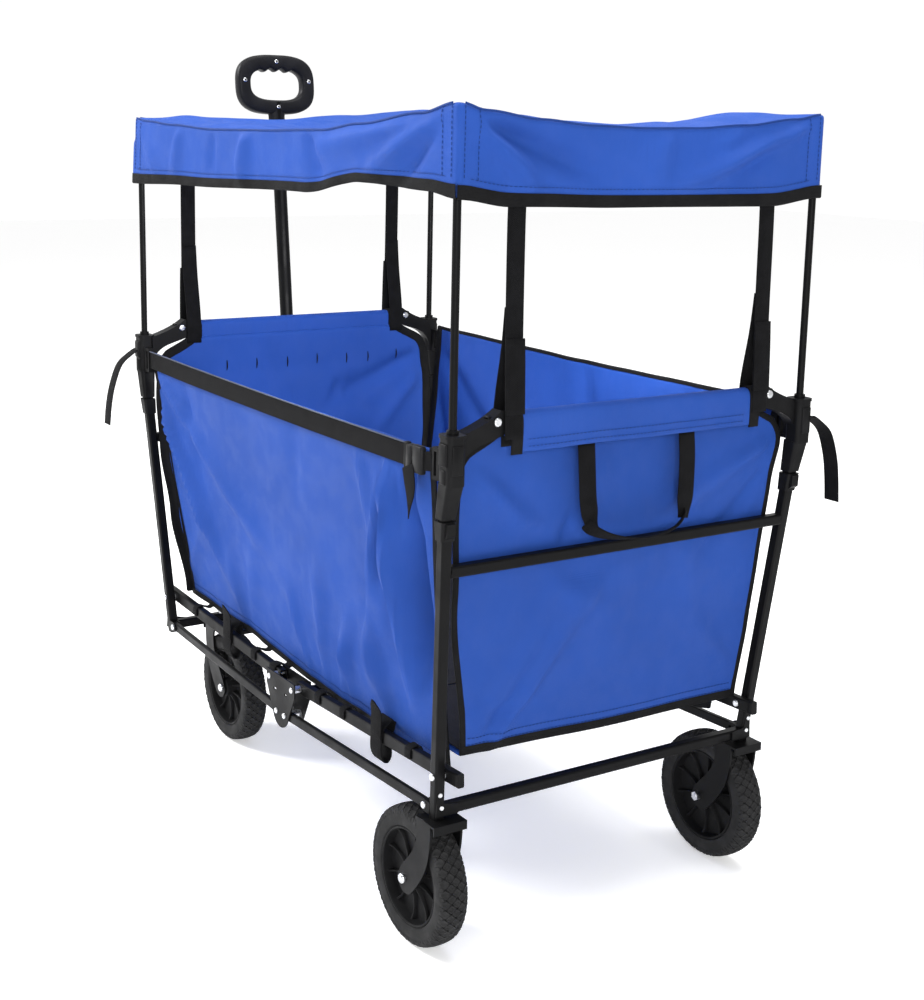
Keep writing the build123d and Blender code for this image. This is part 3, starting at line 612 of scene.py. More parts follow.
def crease(u, v, folds):
    """Sum of soft ridges that start sharp and fade out towards their far end."""
    total = 0.0
    for (a, b), (c, d), width, height in folds:
        length = math.hypot(c - a, d - b)
        tx, ty = (c - a) / length, (d - b) / length
        along = (u - a) * tx + (v - b) * ty
        aside = (v - b) * tx - (u - a) * ty
        share = along / length
        spread = width * (0.55 + 0.9 * clamp(share))
        fade = smooth(-0.12, 0.1, share) * (1 - smooth(0.55, 1.1, share))
        total += CREASE_DEPTH * height * fade * math.exp(-(aside / spread) ** 2)
    return total


def side_point(side, s, t):
    """A point of a side wall: s runs from the front to the rear, t from the hem to the top."""
    folds = NEAR_CREASES if side < 0 else FAR_CREASES
    curve = math.sin(math.pi * t)
    x_low, x_high = between(SIDE_HEM_X, s), between(SIDE_TOP_X, s)
    x = x_low + (x_high - x_low) * t
    pull = 5 * curve
    x += pull * (1 - smooth(0, 0.12, s)) - pull * smooth(0.88, 1, s)
    low = table(SIDE_HEM, x_low)
    high = SIDE_TOP[side] - 3.5 * math.sin(math.pi * s) + 1.5 * wave(x, 0, 0, 90, side)
    z = low + (high - low) * t
    free = min(1, 5 * t, 5 * (1 - t) + 0.15) * smooth(0, 0.05, s) * (1 - smooth(0.95, 1, s))
    out = 4 * curve * math.sin(math.pi * s)
    ripple = 4.5 * wave(x, 0, z * 0.6, 150, 3 + side) + 1.9 * wave(x, 0, z * 0.7, 56, 7 + side)
    out += free * (crease(x, z, folds) + ripple)
    flutter = (1 - t) ** 5 * 5.0 * wave(x, 0, 0, 75, 11 + side)
    y = between(SIDE_Y, t) - out - flutter
    return x, -side * y, z


def strapping(shape, name, body, look="webbing"):
    """Build a shape made of webbing, binding or piping."""
    obj = shape.build(name, M[look], body)
    return obj


def cloth_wall(name, node, body, point, cells):
    """A wall of cloth: point gives its places from shares along and up, cells its fineness."""
    shape = Shape()
    shape.grid(net(point, *cells))
    obj = thicken(shape.build(name, M["blue"], body), WALL_THICK)
    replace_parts(obj, node)
    return obj


# Half width of an end wall by height: where it goes in under the bracket arms, and below them.
ARM_EDGE = [(648, 268), (668, 259), (682, 238), (694, 209), (720, 203)]
REAR_RIGHT_EDGE = [(262, 246), (374, 253), (472, 256), (583, 260), (648, 268)]
REAR_LEFT_EDGE = [(262, 227), (485, 258), (608, 267), (648, 268)]
FRONT_EDGE = [(262, 236), (400, 258), (509, 270), (587, 272), (648, 268)]


def end_edge(end, right, z):
    """Distance of an end wall's edge from the middle: beside the post, then in under the arm."""
    if z > ARM_EDGE[0][0]:
        return table(ARM_EDGE, z)
    if end < 0:
        return table(FRONT_EDGE, z)
    return table(REAR_RIGHT_EDGE if right else REAR_LEFT_EDGE, z)


def post_line(z):
    """Distance from the middle to the inner face of the leaning end frame."""
    return min(430 + 46 * (z - POST_FOOT) / 440 - 9.5, 467)


def end_point(end, s, t):
    """A point of an end wall, rear at end = 1: s runs along +Y, t from the hem to the top."""
    low = END_HEM_Z + 4 * (1 - 2 * s) * end - 3 * math.sin(math.pi * s)
    z = low + (END_TOP_Z - low) * t
    left, right = -end_edge(end, False, z), end_edge(end, True, z)
    y = left + (right - left) * s
    free = min(1, 6 * t + 0.2, 6 * (1 - t)) * smooth(0, 0.07, s) * (1 - smooth(0.93, 1, s))
    ripple = 4.2 * wave(0, y, z * 0.7, 130, 5 + end) + 1.7 * wave(0, y, z, 50, 9 + end)
    out = free * (crease(y, z, END_CREASES) + ripple)
    out += 3.5 * math.sin(math.pi * t) * math.sin(math.pi * s)
    out -= 1.25 * (1 - t) ** 4 * (1 - math.cos(4 * math.pi * s))
    from_bar = abs(z - MIDDLE_BAR_Z)
    held = 0.6 + 0.22 * max(0.0, from_bar - 9) + 9 * smooth(30, 70, from_bar)
    return end * (post_line(z) + min(out, held)), y, z


# Outline of the folded top edge, (distance from the middle, height), over the rail and down outside it.
FLAP_SECTION = [
    (468.5, 690), (468.8, 712), (471, 719), (478, 722), (485.5, 719.5), (488.6, 712), (488.9, 692),
    (487.6, 673),
]
# Thickness of binding as a band, and of one layer round a hem, with how far that passes the edge, in metres.
TAPE_THICK, HEM_THICK, HEM_TURN = 0.0026, 0.0016, 0.0018
# Lengths of a thread dash and of the gap after it, and the step that both are counted in, in metres.
DASH, GAP, THREAD_STEP = 0.0034, 0.0020, 0.0012


def top_flap(end, name, body):
    """The end wall's top, folded over the rail and hanging outside it."""
    path = resample([Vector((x, 0, z)) for x, z in FLAP_SECTION], 3.0)
    half, count = 199.0, 56
    shape = Shape()
    rows = []
    for k, p in enumerate(path):
        share = k / (len(path) - 1)
        row = []
        for i in range(count + 1):
            y = half * (2 * i / count - 1)
            hang = smooth(0.45, 1, share)
            x = p.x + hang * (1.6 * wave(y, 0, p.z, 70, 2) + 1.2 + 1.4 * math.sin(math.pi * i / count))
            z = p.z - hang * (1.5 * wave(y, 3, 0, 110, 4))
            row.append(at(end * x, y, z))
        rows.append(row)
    shape.grid(rows)
    obj = thicken(shape.build(name, M["blue"], body), COVER_THICK)
    out = X_AXIS * end
    thread = Shape()
    for row in (rows[-3], rows[-6]):
        stitches(thread, [q + out * 0.0009 for q in row[3:-3]], out)
    seam = thread.build(name.replace("flap", "flap_stitching"), M["thread"], body)
    return obj


def wall_stitching(name, points_of, out, body):
    """Two rows of thread above a wall's hem."""
    thread = Shape()
    for t in (0.030, 0.052):
        line = [at(*points_of(0.02 + 0.96 * i / 60, t)) + out * 0.001 for i in range(61)]
        stitches(thread, line, out)
    seam = thread.build(name, M["thread"], body)
    return seam


def edge_tape(name, body, strips, edges=()):
    """Black binding: strips of (rows, out) round hems, and bands along edges of (points, across, width)."""
    shape = Shape()
    for rows, out in strips:
        hem_strip(shape, rows, out)
    for points, across, width in edges:
        band(shape, points, across, width / 1000, TAPE_THICK, 0.008)
    return strapping(shape, name, body, "binding")


def hem_strip(shape, rows, out):
    """Binding on both faces of cloth: rows run from the edge inwards."""
    inner = [[p - out * HEM_THICK for p in row] for row in rows]
    outer = [[p + out * HEM_THICK for p in row] for row in rows]
    past = []
    for a, b in zip(rows[0], rows[1]):
        past.append(a + (a - b).normalized() * HEM_TURN)
    shape.grid(list(reversed(inner)) + [past] + outer)


def stitches(shape, points, out):
    """A row of thread dashes along a line, lying on the face whose outward direction is out."""
    path = resample(points, THREAD_STEP)
    step, length = round((DASH + GAP) / THREAD_STEP), round(DASH / THREAD_STEP)
    for k in range(0, len(path) - length, step):
        a, b = path[k], path[k + length]
        along = (b - a).normalized()
        side = out.cross(along).normalized() * 0.00045
        lift = out * 0.00075
        shape.grid([[p - side, p - side + lift, p + side + lift, p + side] for p in (a, b)])


def side_tapes(side, name):
    """Binding up both edges of a side wall and along its hem, and along the far wall's top."""
    steps = 40
    edges = []
    for s, shift, width in ((0.0, 0.006, 17.0), (1.0, -0.005, 13.0)):
        points = [at(*side_point(side, s, i / steps)) + X_AXIS * shift for i in range(steps + 1)]
        edges.append((points, X_AXIS, width))

    def strip(heights):
        cells = SIDE_CELLS[0]
        rows = [[at(*side_point(side, i / cells, t)) for i in range(cells + 1)] for t in heights]
        return rows, Y_AXIS * side
    strips = [strip([k * 0.0085 for k in range(4)])]
    if side > 0:
        strips.append(strip([1 - k * 0.0045 for k in range(3)]))
    return edge_tape(name, "root", strips, edges)


def end_tapes(end, name, body):
    """Binding along the hem, up both edges and round under the bracket arms."""
    steps = 56
    edges = []
    for s in (0.0, 1.0):
        inward = 1 - 2 * s
        width = 9.0 if end > 0 else 16.0
        edge = [at(*end_point(end, s, i / steps)) for i in range(steps + 1)]
        path = resample(edge, 0.012)

        def side(share, path=path):
            k = min(int(share * (len(path) - 1)), len(path) - 2)
            return X_AXIS.cross((path[k + 1] - path[k]).normalized())
        shift = inward * -width * 0.0004
        edges.append(([p + side(i / (len(path) - 1)) * shift for i, p in enumerate(path)], side, width))
    cells = END_CELLS[0]
    hem = [[at(*end_point(end, i / cells, k * 0.009)) for i in range(cells + 1)] for k in range(4)]
    return edge_tape(name, body, [(hem, X_AXIS * end)], edges)


def slits(name, body):
    """The row of short stitched slits near the top of the front wall, seen from inside."""
    shape = Shape()
    for y, z in ((-140, 642), (-82, 642), (-23, 641), (37, 643), (98, 640), (142, 640), (202, 642)):
        t = (z - END_HEM_Z) / (END_TOP_Z - END_HEM_Z)
        left, right = -end_edge(-1, False, z), end_edge(-1, True, z)
        x = end_point(-1, (y - left) / (right - left), t)[0] + 1.1
        line = [at(x, y, z - 9), at(x + 0.8, y + 0.5, z), at(x, y, z + 9)]
        band(shape, line, Y_AXIS, 0.0022, 0.0012, 0.004, lambda share: 0.4 + 0.6 * math.sin(math.pi * share))
    strapping(shape, name, body, "binding")


def flap_ends(end, name, body):
    """Black patches that bind the two ends of the folded top edge."""
    shape = Shape()
    inside = (467.2, 676 if end > 0 else 692)
    over = [(467.4, 712), (470, 720), (478, 723.4), (486.5, 720.6), (490.2, 712), (490.6, 692), (489.4, 670)]
    for y in (-194.5, 194.5):
        band(shape, [at(end * x, y, z) for x, z in [inside] + over], Y_AXIS, 0.017, 0.0022, 0.004)
    return strapping(shape, name, body, "binding")


def squash_with_fold(obj):
    """Give a piece its own copy of its mesh."""
    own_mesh(obj)
    return obj


for side, word in SIDE_WORD.items():
    def point(s, t, side=side):
        return side_point(side, s, t)
    wall = cloth_wall("wall_" + word, "side_panel_" + word, "root", point, SIDE_CELLS)
    tape = side_tapes(side, "wall_tape_" + word)
    seam = wall_stitching("wall_stitching_" + word, point, Y_AXIS * side, "root")
    for piece in (wall, tape, seam):
        squash_with_fold(piece)
for end, word, body in ((1, "rear", "root"), (-1, "front", "front_frame")):
    def point(s, t, end=end):
        return end_point(end, s, t)
    wall = cloth_wall("wall_" + word, word + "_panel", body, point, END_CELLS)
    tape = end_tapes(end, "wall_tape_" + word, body)
    seam = wall_stitching("wall_stitching_" + word, point, X_AXIS * end, body)
    patches = flap_ends(end, "flap_ends_" + word, body)
    top_flap(end, "flap_" + word, body)
slits("wall_slits", "front_frame")


# The basket floor's ends, half width, height at its edges and sag in the middle.
FLOOR_X, FLOOR_HALF, FLOOR_Z, FLOOR_SAG = (-428, 422), 224, 262.3, 9.0
# The mat boards: where the first starts, from one to the next, length, half width, and heights of both faces.
BOARD_START, BOARD_PITCH, BOARD_LENGTH, BOARD_HALF, BOARD_Z = -412, 207, 203, 218, (264.7, 270.7)
# A board's thickness at its rim, how far in it reaches its full thickness, and where its stitched line lies.
RIM_THICK, RIM_ROUND, STITCH_IN = 2.2, 9, 14


def floor_point(u, v):
    """A point of the floor cloth: u runs from the front to the rear, v along +Y."""
    x, y = between(FLOOR_X, u), FLOOR_HALF * (2 * v - 1)
    sag = FLOOR_SAG * (math.sin(math.pi * u) * math.sin(math.pi * v)) ** 0.5
    return x, y, FLOOR_Z - sag + 0.8 * wave(x, y, 0, 60, 1)


def floor_sheet():
    """The basket's floor under the mat, held along its hem and sagging in the middle."""
    shape = Shape()
    shape.grid(net(floor_point, 60, 30))
    obj = thicken(shape.build("basket_floor_cloth", M["blue"], "root"), WALL_THICK)
    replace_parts(obj, "basket_floor")
    return squash_with_fold(obj)


def mat_board(index):
    """One padded board of the floor mat: thin, with soft edges and a stitched border."""
    start = BOARD_START + BOARD_PITCH * index
    low, high = BOARD_Z
    nx, ny = 24, 44
    shape = Shape()
    rows_top, rows_low = [], []
    for j in range(ny + 1):
        top, low_row = [], []
        for i in range(nx + 1):
            u, v = i / nx, j / ny
            x, y = start + BOARD_LENGTH * u, BOARD_HALF * (2 * v - 1)
            edge = min(min(u, 1 - u) * BOARD_LENGTH, min(v, 1 - v) * 2 * BOARD_HALF)
            crown = smooth(0, RIM_ROUND, edge)
            stitch = math.exp(-((edge - STITCH_IN) / 2.5) ** 2)
            z = low + RIM_THICK + (high - low - RIM_THICK) * crown - 1.3 * stitch
            top.append(at(x, y, z + 0.35 * wave(x, y, 0, 40, index)))
            low_row.append(at(x, y, low + 1.2 * (1 - crown)))
        rows_top.append(top)
        rows_low.append(low_row)
    shape.grid(rows_top)
    shape.grid([list(reversed(row)) for row in rows_low])
    for edges in ((rows_top[0], rows_low[0]), (rows_low[-1], rows_top[-1])):
        shape.grid([list(reversed(row)) for row in edges])
    shape.grid([[r[0] for r in rows_top], [r[0] for r in rows_low]])
    shape.grid([[r[-1] for r in rows_low], [r[-1] for r in rows_top]])
    obj = shape.build("mat_board_%d" % index, M["mat"], "root")
    if index == 0:
        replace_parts(obj, "floor_mat")
    return squash_with_fold(obj)


floor_sheet()
for index in range(4):
    mat_board(index)


# ---------------------------------------------------------------- webbing
def on_side(side):
    """Coordinates of the left webbing for side -1, turned half round the middle for side 1."""
    flip = -side

    def place(x, y, z):
        return at(flip * x, flip * y, z)
    return place, X_AXIS * flip, Y_AXIS * -flip


def side_strap(side):
    """Webbing along a side wall's top; its loose tail is returned with it, for the body it rides on."""
    place = on_side(side)[0]
    run = [(-452, -287.5, 663), (-300, -289.5, 661), (-100, -290.3, 660), (120, -290.3, 659.5),
           (300, -289.6, 660), (391, -288.6, 660)]
    line = [(-491, -297, 676), (-493, -306, 670), (-494, -326, 652), (-495, -339, 617), (-494, -346, 585),
            (-494, -349.5, 551)]
    shape, tail = Shape(), Shape()
    band(shape, [place(*p) for p in run], Z_AXIS, 0.0275, STRAP_THICK)
    band(tail, [place(*p) for p in line], X_AXIS + Z_AXIS * 0.06, 0.0265, STRAP_THICK)
    return squash_with_fold(strapping(shape, "strap_" + SIDE_WORD[side], "root")), tail


def box_shape(shape, centre, axes, half, soften):
    """A box with bevelled edges on three axes, as stacked rings along the third."""
    (a, b, c), (ha, hb, hc) = axes, half
    rings = []
    for h, k in ((-hc, soften), (-hc + soften, 0), (hc - soften, 0), (hc, soften)):
        u, v, m = ha - k, hb - k, soften
        ring = [(-u, -v + m), (-u + m, -v), (u - m, -v), (u, -v + m)]
        ring += [(-p, -q) for p, q in ring]
        rings.append([centre + (a * p + b * q + c * h) / 1000 for p, q in ring])
    start = shape.grid(rings, closed=True)
    shape.fan(range(start + 7, start - 1, -1))
    shape.fan(range(start + 24, start + 32))


def buckle(side, node, body):
    """Side-release buckle: slotted half, socket half with its two prongs in the side windows."""
    place, along, out = on_side(side)
    shape = Shape()
    halves = [(424, 0, (10.5, 17.5, 4.2), 1.4), (404, 0, (6.5, 16.0, 4.2), 1.4)]
    prongs = [(412, z, (5.0, 2.6, 2.6), 0.8) for z in (-11.5, 0, 11.5)]
    prongs += [(411, z, (7.0, 2.2, 3.4), 0.9) for z in (-14.6, 14.6)]
    ladder = [(x, 0, (1.7, 17.0, 3.4), 0.7) for x in (394.5, 399.5)]
    ladder += [(397, z, (4.0, 1.8, 3.4), 0.7) for z in (-16.0, 16.0)]
    for x, z, half, soften in halves + prongs + ladder:
        box_shape(shape, place(x, -293, STRAP_Z + z), (along, Z_AXIS, out), half, soften)
    obj = shape.build("side_buckle_" + SIDE_WORD[side], M["buckle"], body, 50)
    fix_normals(obj)
    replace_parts(obj, node)
    # Under the buckle: a dark tapered band hanging down, a dark piece put as painted shade where the cloth
    # bunched below the buckle is in shadow; then the short run of strap beyond the slotted half.
    hanging = Shape()
    line = [(404, -297, 650), (409, -298, 638), (412, -298, 620), (409, -297, 600), (405, -295.5, 583)]
    band(hanging, [place(*p) for p in line], along, 0.0255, 0.0016, 0.004,
         taper=lambda share: 1.0 - 0.93 * smooth(0.25, 1.0, share))
    line = [(430, -293, STRAP_Z), (441, -292, 662), (452, -290, 664)]
    band(hanging, [place(*p) for p in line], Z_AXIS, 0.024, 0.0016, 0.004)
    strapping(hanging, "buckle_strap_end_and_fold_shade_" + SIDE_WORD[side], body)


def top_piping(side):
    """A thin pale cord edge that shows along the top of the webbing."""
    place = on_side(side)[0]
    shape = Shape()
    line = [(-447, -289.2, 677.6), (-200, -290.6, 675.6), (100, -291.2, 674.6), (388, -289.8, 675.4)]
    band(shape, [place(*p) for p in line], Y_AXIS, 0.0032, 0.0014, 0.01)
    squash_with_fold(strapping(shape, "strap_edge_" + SIDE_WORD[side], "root", "piping"))


strap_left, tail_left = side_strap(-1)
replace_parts(strap_left, "side_straps")
_, tail_right = side_strap(1)
for tail, word, body in ((tail_left, "left", "front_frame"), (tail_right, "right", "root")):
    strapping(tail, "strap_tail_" + word, body)
for side, node, body in ((-1, "buckle_left", "root"), (1, "buckle_right", "front_frame")):
    buckle(side, node, body)
    top_piping(side)


def carry_loop():
    """Two flat legs, with the middle of the webbing turned edge-on where a hand goes through."""
    shape = Shape()
    near_leg = [(486, -85, 672), (489.5, -85, 640), (490, -82, 600), (489.5, -76, 572), (490, -72, 560)]
    far_leg = [(486, 80, 672), (489.5, 80, 640), (490, 80, 600), (489.5, 79, 574), (490, 77, 558)]
    for leg in (near_leg, far_leg):
        band(shape, [at(*p) for p in leg], Y_AXIS, 0.0265, WEB_THICK, 0.004,
             taper=lambda share: 1.0 - 0.35 * smooth(0.75, 1, share))
    line = [(490, -84, 570), (492, -74, 560), (497, -50, 550), (499, -10, 543), (499, 30, 544),
            (496, 62, 551), (491, 82, 566)]

    def turned(share):
        edge_on = math.sin(math.pi * share) ** 0.35
        return Vector((edge_on, 0, 0.25 + (1 - edge_on)))
    band(shape, [at(*p) for p in line], turned, 0.0265, 0.0020, 0.004,
         taper=lambda share: 0.55 + 0.45 * math.sin(math.pi * share) ** 0.5)
    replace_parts(strapping(shape, "carry_loop_webbing", "root"), "carry_loop")


carry_loop()


# Tabs between the side walls' hem and the rails: place along X, and width.
HEM_TABS = [(-345, 15), (-120, 16), (-52, 20), (95, 16), (170, 14), (350, 15)]


def hem_tabs(side, tabs):
    """Short tabs that tie the side wall's hem down to the rail."""
    shape = Shape()
    for x, wide in tabs:
        hem = table(SIDE_HEM, x)
        rail = 249 - 16 * (1 - abs(x) / 436)
        section = [(226.5, hem + 5), (231, hem), (240, rail + 7), (249, rail + 10.5), (257.6, rail + 7),
                   (257.8, rail - 6)]
        band(shape, [at(x, side * y, z) for y, z in section], X_AXIS, wide / 1000, STRAP_THICK, 0.004)
    return shape


def rail_loop(side, x):
    """A webbing tab that holds the wall's hem to the side rail, with its pointed end curled out."""
    rail, reach = 250.5, 7.8
    outer, inner = rail + reach, rail - reach
    section = [(240, 266), (rail + reach * 0.4, 256), (outer, 240), (outer, 218), (rail, 205), (inner, 214),
               (inner, 235), (236, 262)]
    shape, curled = Shape(), Shape()
    band(shape, [at(x, side * y, z) for y, z in section], X_AXIS, 0.030, WEB_THICK, 0.005)
    tail = [(0, 1, 240), (2, 1.5, 262), (3, 2.5, 280), (5, 9, 296)]
    line = [at(x + aside, side * (outer + out), z) for aside, out, z in tail]
    band(curled, line, X_AXIS, 0.028, 0.0016, 0.004,
         taper=lambda share: 1.0 if share < 0.75 else 1 - (share - 0.75) * 3)
    end = END_WORD[1 if x > 0 else -1]
    word, body = SIDE_WORD[side] + "_" + end, end + "_rails"
    strapping(shape, "rail_loop_" + word, body)
    curl = strapping(curled, "rail_loop_end_" + word, body)
    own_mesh(curl)


for side in (-1, 1):
    for x in (-215, 268):
        rail_loop(side, x)
    for front, body in ((True, "front_rails"), (False, "rear_rails")):
        tabs = hem_tabs(side, [t for t in HEM_TABS if (t[0] < 0) == front])
        strapping(tabs, "hem_tabs_%s_%s" % (body, SIDE_WORD[side]), body)


# ---------------------------------------------------------------- canopy
NEAR_SEAM = [
    (-491, 1062.5), (-440, 1058), (-332, 1053), (-184, 1048), (-13, 1049), (164, 1052), (267, 1061),
    (414, 1075), (491, 1087),
]
FAR_SEAM = [(-491, 1086), (-330, 1072), (-150, 1063), (60, 1061), (260, 1068), (400, 1078), (491, 1084)]
REAR_SEAM = [
    (-286, 1087), (-253, 1079), (-174, 1070), (-98, 1064), (-19, 1062), (63, 1063), (149, 1068),
    (238, 1077), (286, 1084),
]
FRONT_SEAM = [
    (-286, 1062.5), (-250, 1059.5), (-200, 1056), (-60, 1058), (80, 1066), (200, 1076), (286, 1086),
]
NEAR_HEM = [(-491, 957), (-300, 962), (103, 970), (267, 990), (427, 986), (491, 980)]
REAR_HEM = [(-286, 979), (-214, 970), (-38, 967), (203, 966), (286, 976)]
FAR_HEM = [(-491, 972), (-200, 966), (150, 968), (491, 976)]
FRONT_HEM = [(-286, 957), (-100, 960), (120, 966), (286, 972)]
NEAR_FOLDS = [
    ((478, 1078), (250, 985), 13, 9.0), ((465, 1066), (340, 980), 9, -6.0),
    ((440, 1078), (90, 1015), 15, 6.0), ((-60, 1050), (-95, 965), 17, 6.0),
    ((-300, 1052), (-335, 962), 15, 5.0), ((120, 1052), (155, 972), 17, -6.5),
    ((-470, 1050), (-380, 962), 13, 5.0), ((-180, 1050), (-200, 965), 14, -4.0),
]
REAR_FOLDS = [
    ((-276, 1080), (-165, 975), 11, 11.0), ((-262, 1066), (-40, 992), 15, -8.0),
    ((272, 1074), (20, 985), 10, 12.0), ((250, 1080), (130, 1000), 10, -5.0),
    ((20, 1060), (0, 970), 22, 5.0), ((150, 1066), (90, 1030), 12, 4.0),
]
# Half length and half width of the canopy, and its seam's height at the near and then the far corners.
HALF_X, HALF_Y = 492.0, 290.6
CORNERS = (1062.5, 1087, 1086, 1084)
# Cells along each side of the canopy, and rows from its hem up to its seam.
CANOPY_CELLS = {"near": 96, "far": 96, "rear": 60, "front": 60}
CANOPY_DROPS = 14
OUTWARD = {"near": -Y_AXIS, "far": Y_AXIS, "rear": X_AXIS, "front": -X_AXIS}


def seam_height(x, y):
    """Coons patch of the four seams, with a sag in the middle."""
    u, v = (x + HALF_X) / (2 * HALF_X), (y + HALF_Y) / (2 * HALF_Y)
    near, far = table(NEAR_SEAM, x), table(FAR_SEAM, x)
    front, rear = table(FRONT_SEAM, y), table(REAR_SEAM, y)
    c00, c10, c01, c11 = CORNERS
    flat = c00 * (1 - u) * (1 - v) + c10 * u * (1 - v) + c01 * (1 - u) * v + c11 * u * v
    z = near * (1 - v) + far * v + front * (1 - u) + rear * u - flat
    return z - 16 * math.sin(math.pi * u) * math.sin(math.pi * v)


def canopy_wall_rows(kind):
    """Rows of one valance side, from the hem up to the seam."""
    count = CANOPY_CELLS[kind]
    rows = []
    for k in range(CANOPY_DROPS + 1):
        t = k / CANOPY_DROPS
        row = []
        for i in range(count + 1):
            s = i / count
            if kind in ("near", "far"):
                x, y = -HALF_X + 2 * HALF_X * s, -HALF_Y if kind == "near" else HALF_Y
                seam, hem = seam_height(x, y), table(NEAR_HEM if kind == "near" else FAR_HEM, x)
                run = x
            else:
                y, x = -HALF_Y + 2 * HALF_Y * s, HALF_X if kind == "rear" else -HALF_X
                seam, hem = seam_height(x, y), table(REAR_HEM if kind == "rear" else FRONT_HEM, y)
                run = y
            z = hem + (seam - hem) * t
            loose = (1 - t) * math.sin(math.pi * s) ** 0.6
            folds = NEAR_FOLDS if kind in ("near", "far") else REAR_FOLDS
            out = loose * (3.0 * wave(run, 0, z * 0.4, 120, 20) + 2.4 * wave(run, 0, z * 0.3, 45, 23))
            out -= 5 * (1 - t) * math.sin(math.pi * s)
            out += smooth(0, 0.12, min(s, 1 - s)) * smooth(0, 0.2, 1 - t) * crease(run, z, folds)
            flare = 7 * (1 - t) * (1 - smooth(0, 0.25, s)) if kind in ("near", "front") else 0
            if kind in ("near", "far"):
                y += (out + flare * 0.4) * (-1 if kind == "near" else 1)
                x -= flare * 0.9 if kind == "near" else 0
            else:
                x += (out + flare) * (1 if kind == "rear" else -1)
            row.append(at(x, y, z))
        rows.append(row)
    return rows


def canopy_top_point(u, v):
    """A point of the canopy's top: u runs from the front to the rear, v along +Y."""
    x, y = -HALF_X + 2 * HALF_X * u, -HALF_Y + 2 * HALF_Y * v
    edge = min(HALF_X - abs(x), HALF_Y - abs(y))
    ripple = 3.5 * wave(x, y, 0, 130, 31) + 1.6 * wave(x, y, 0, 48, 33)
    return x, y, seam_height(x, y) + 16 * smooth(0, 75, edge) + smooth(0, 60, edge) * ripple


def canopy_cover():
    """The canopy's top and its four valance sides, with their hems, seams and thread."""
    shape = Shape()
    shape.grid(net(canopy_top_point, CANOPY_CELLS["near"], CANOPY_CELLS["rear"]))
    sides = {kind: canopy_wall_rows(kind) for kind in CANOPY_CELLS}
    for kind, rows in sides.items():
        shape.grid(rows if kind in ("near", "rear") else [list(reversed(row)) for row in rows])
    obj = weld(shape.build("canopy_cloth", M["canopy"], "canopy_rear"), 0.0012)
    sub = obj.modifiers.new("sub", "SUBSURF")
    sub.levels = sub.render_levels = 1
    settle(obj)
    thicken(obj, COVER_THICK)
    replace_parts(obj, "canopy_cover")
    thread, strips = Shape(), []
    for kind, rows in sides.items():
        out = OUTWARD[kind]
        strips.append((rows[:3], out))
        band(thread, [p + out * 0.0006 for p in rows[-1][1:-1]], Z_AXIS, 0.0028, 0.0016)
        stitches(thread, [p + out * 0.0011 for p in rows[3][2:-2]], out)
        for column in (1, 3, -4, -2):
            stitches(thread, [row[column] + out * 0.0011 for row in rows[3:]], out)
    tape = edge_tape("canopy_tape", "canopy_rear", strips)
    seam = thread.build("canopy_stitching", M["thread"], "canopy_rear")
    for piece in (obj, tape, seam):
        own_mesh(piece)


canopy_cover()


def canopy_straps(end, node, body):
    """Two straps from inside the valance, each looping round the end wall's top rail."""
    shape = Shape()
    outer = [(485, 1010), (485.5, 950), (487, 820), (490, 745), (491.5, 715), (491.8, 690)]
    inner = [(484.5, 850), (479, 800), (469, 745), (465.5, 715), (465.8, 685)]
    tab = [(489.6, 812), (491.5, 780), (493.2, 735), (493.6, 720)]
    for y in (-201, 201):
        for line, width in ((outer, 0.026), (inner, 0.026), (tab, 0.0285)):
            points = [at(end * x, y * (0.99 if z > 1000 else 1), z) for x, z in line]
            band(shape, points, Y_AXIS, width, WEB_THICK, 0.008)
    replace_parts(strapping(shape, "canopy_webbing_" + body, body), node)


canopy_straps(1, "canopy_straps_rear", "canopy_rear")
canopy_straps(-1, "canopy_straps_front", "canopy_front")


# ---------------------------------------------------------------- bracket details
def bracket_panels(end, name, body):
    """Raised panels moulded on the outer faces of the corner brackets."""
    shape = Shape()
    for side in (-1, 1):
        out = Y_AXIS * side
        box_shape(shape, at(end * 484, side * 296.6, 678), (X_AXIS, Z_AXIS, out), (8.5, 14.0, 2.0), 1.0)
        box_shape(shape, at(end * 483, side * 296.0, 651), (X_AXIS, Z_AXIS, out), (6.0, 9.0, 1.8), 0.9)
        box_shape(shape, at(end * 497.4, side * 285, 672), (out, Z_AXIS, X_AXIS * end), (7.5, 18.0, 1.8), 0.9)
    obj = shape.build(name, M["plastic"], body, 50)
    fix_normals(obj)


bracket_panels(1, "bracket_panels_rear", "root")
bracket_panels(-1, "bracket_panels_front", "front_frame")


# ---------------------------------------------------------------- wheels
TREAD_BLOCKS, RIM_RIBS = 42, 10
# Rows of tread blocks: from one to the next, a block's half width, the power that shapes it, and the tyre's
# half width.
ROW_PITCH, BLOCK_HALF, BLOCK_POWER, TREAD_HALF = 7.8, 7.3, 1.25, 20.2
# A rim's rib at its places from the hub outwards, as (radius, half width, distance of its top from the disc).
RIB_SECTIONS = [(15.0, 1.5, 12.5), (30, 1.3, 8.0), (45, 1.3, 7.0), (55, 1.5, 8.0), (62.3, 1.9, 11.5)]


def middle_of(node):
    """Middle of a CAD node's box."""
    low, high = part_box(node)
    return Vector([(a + b) / 2 for a, b in zip(low, high)])


def tread_radius(y):
    """Radius of the tyre's crowned surface under the blocks, at a distance from its middle."""
    return 91.6 - 0.008 * y * y


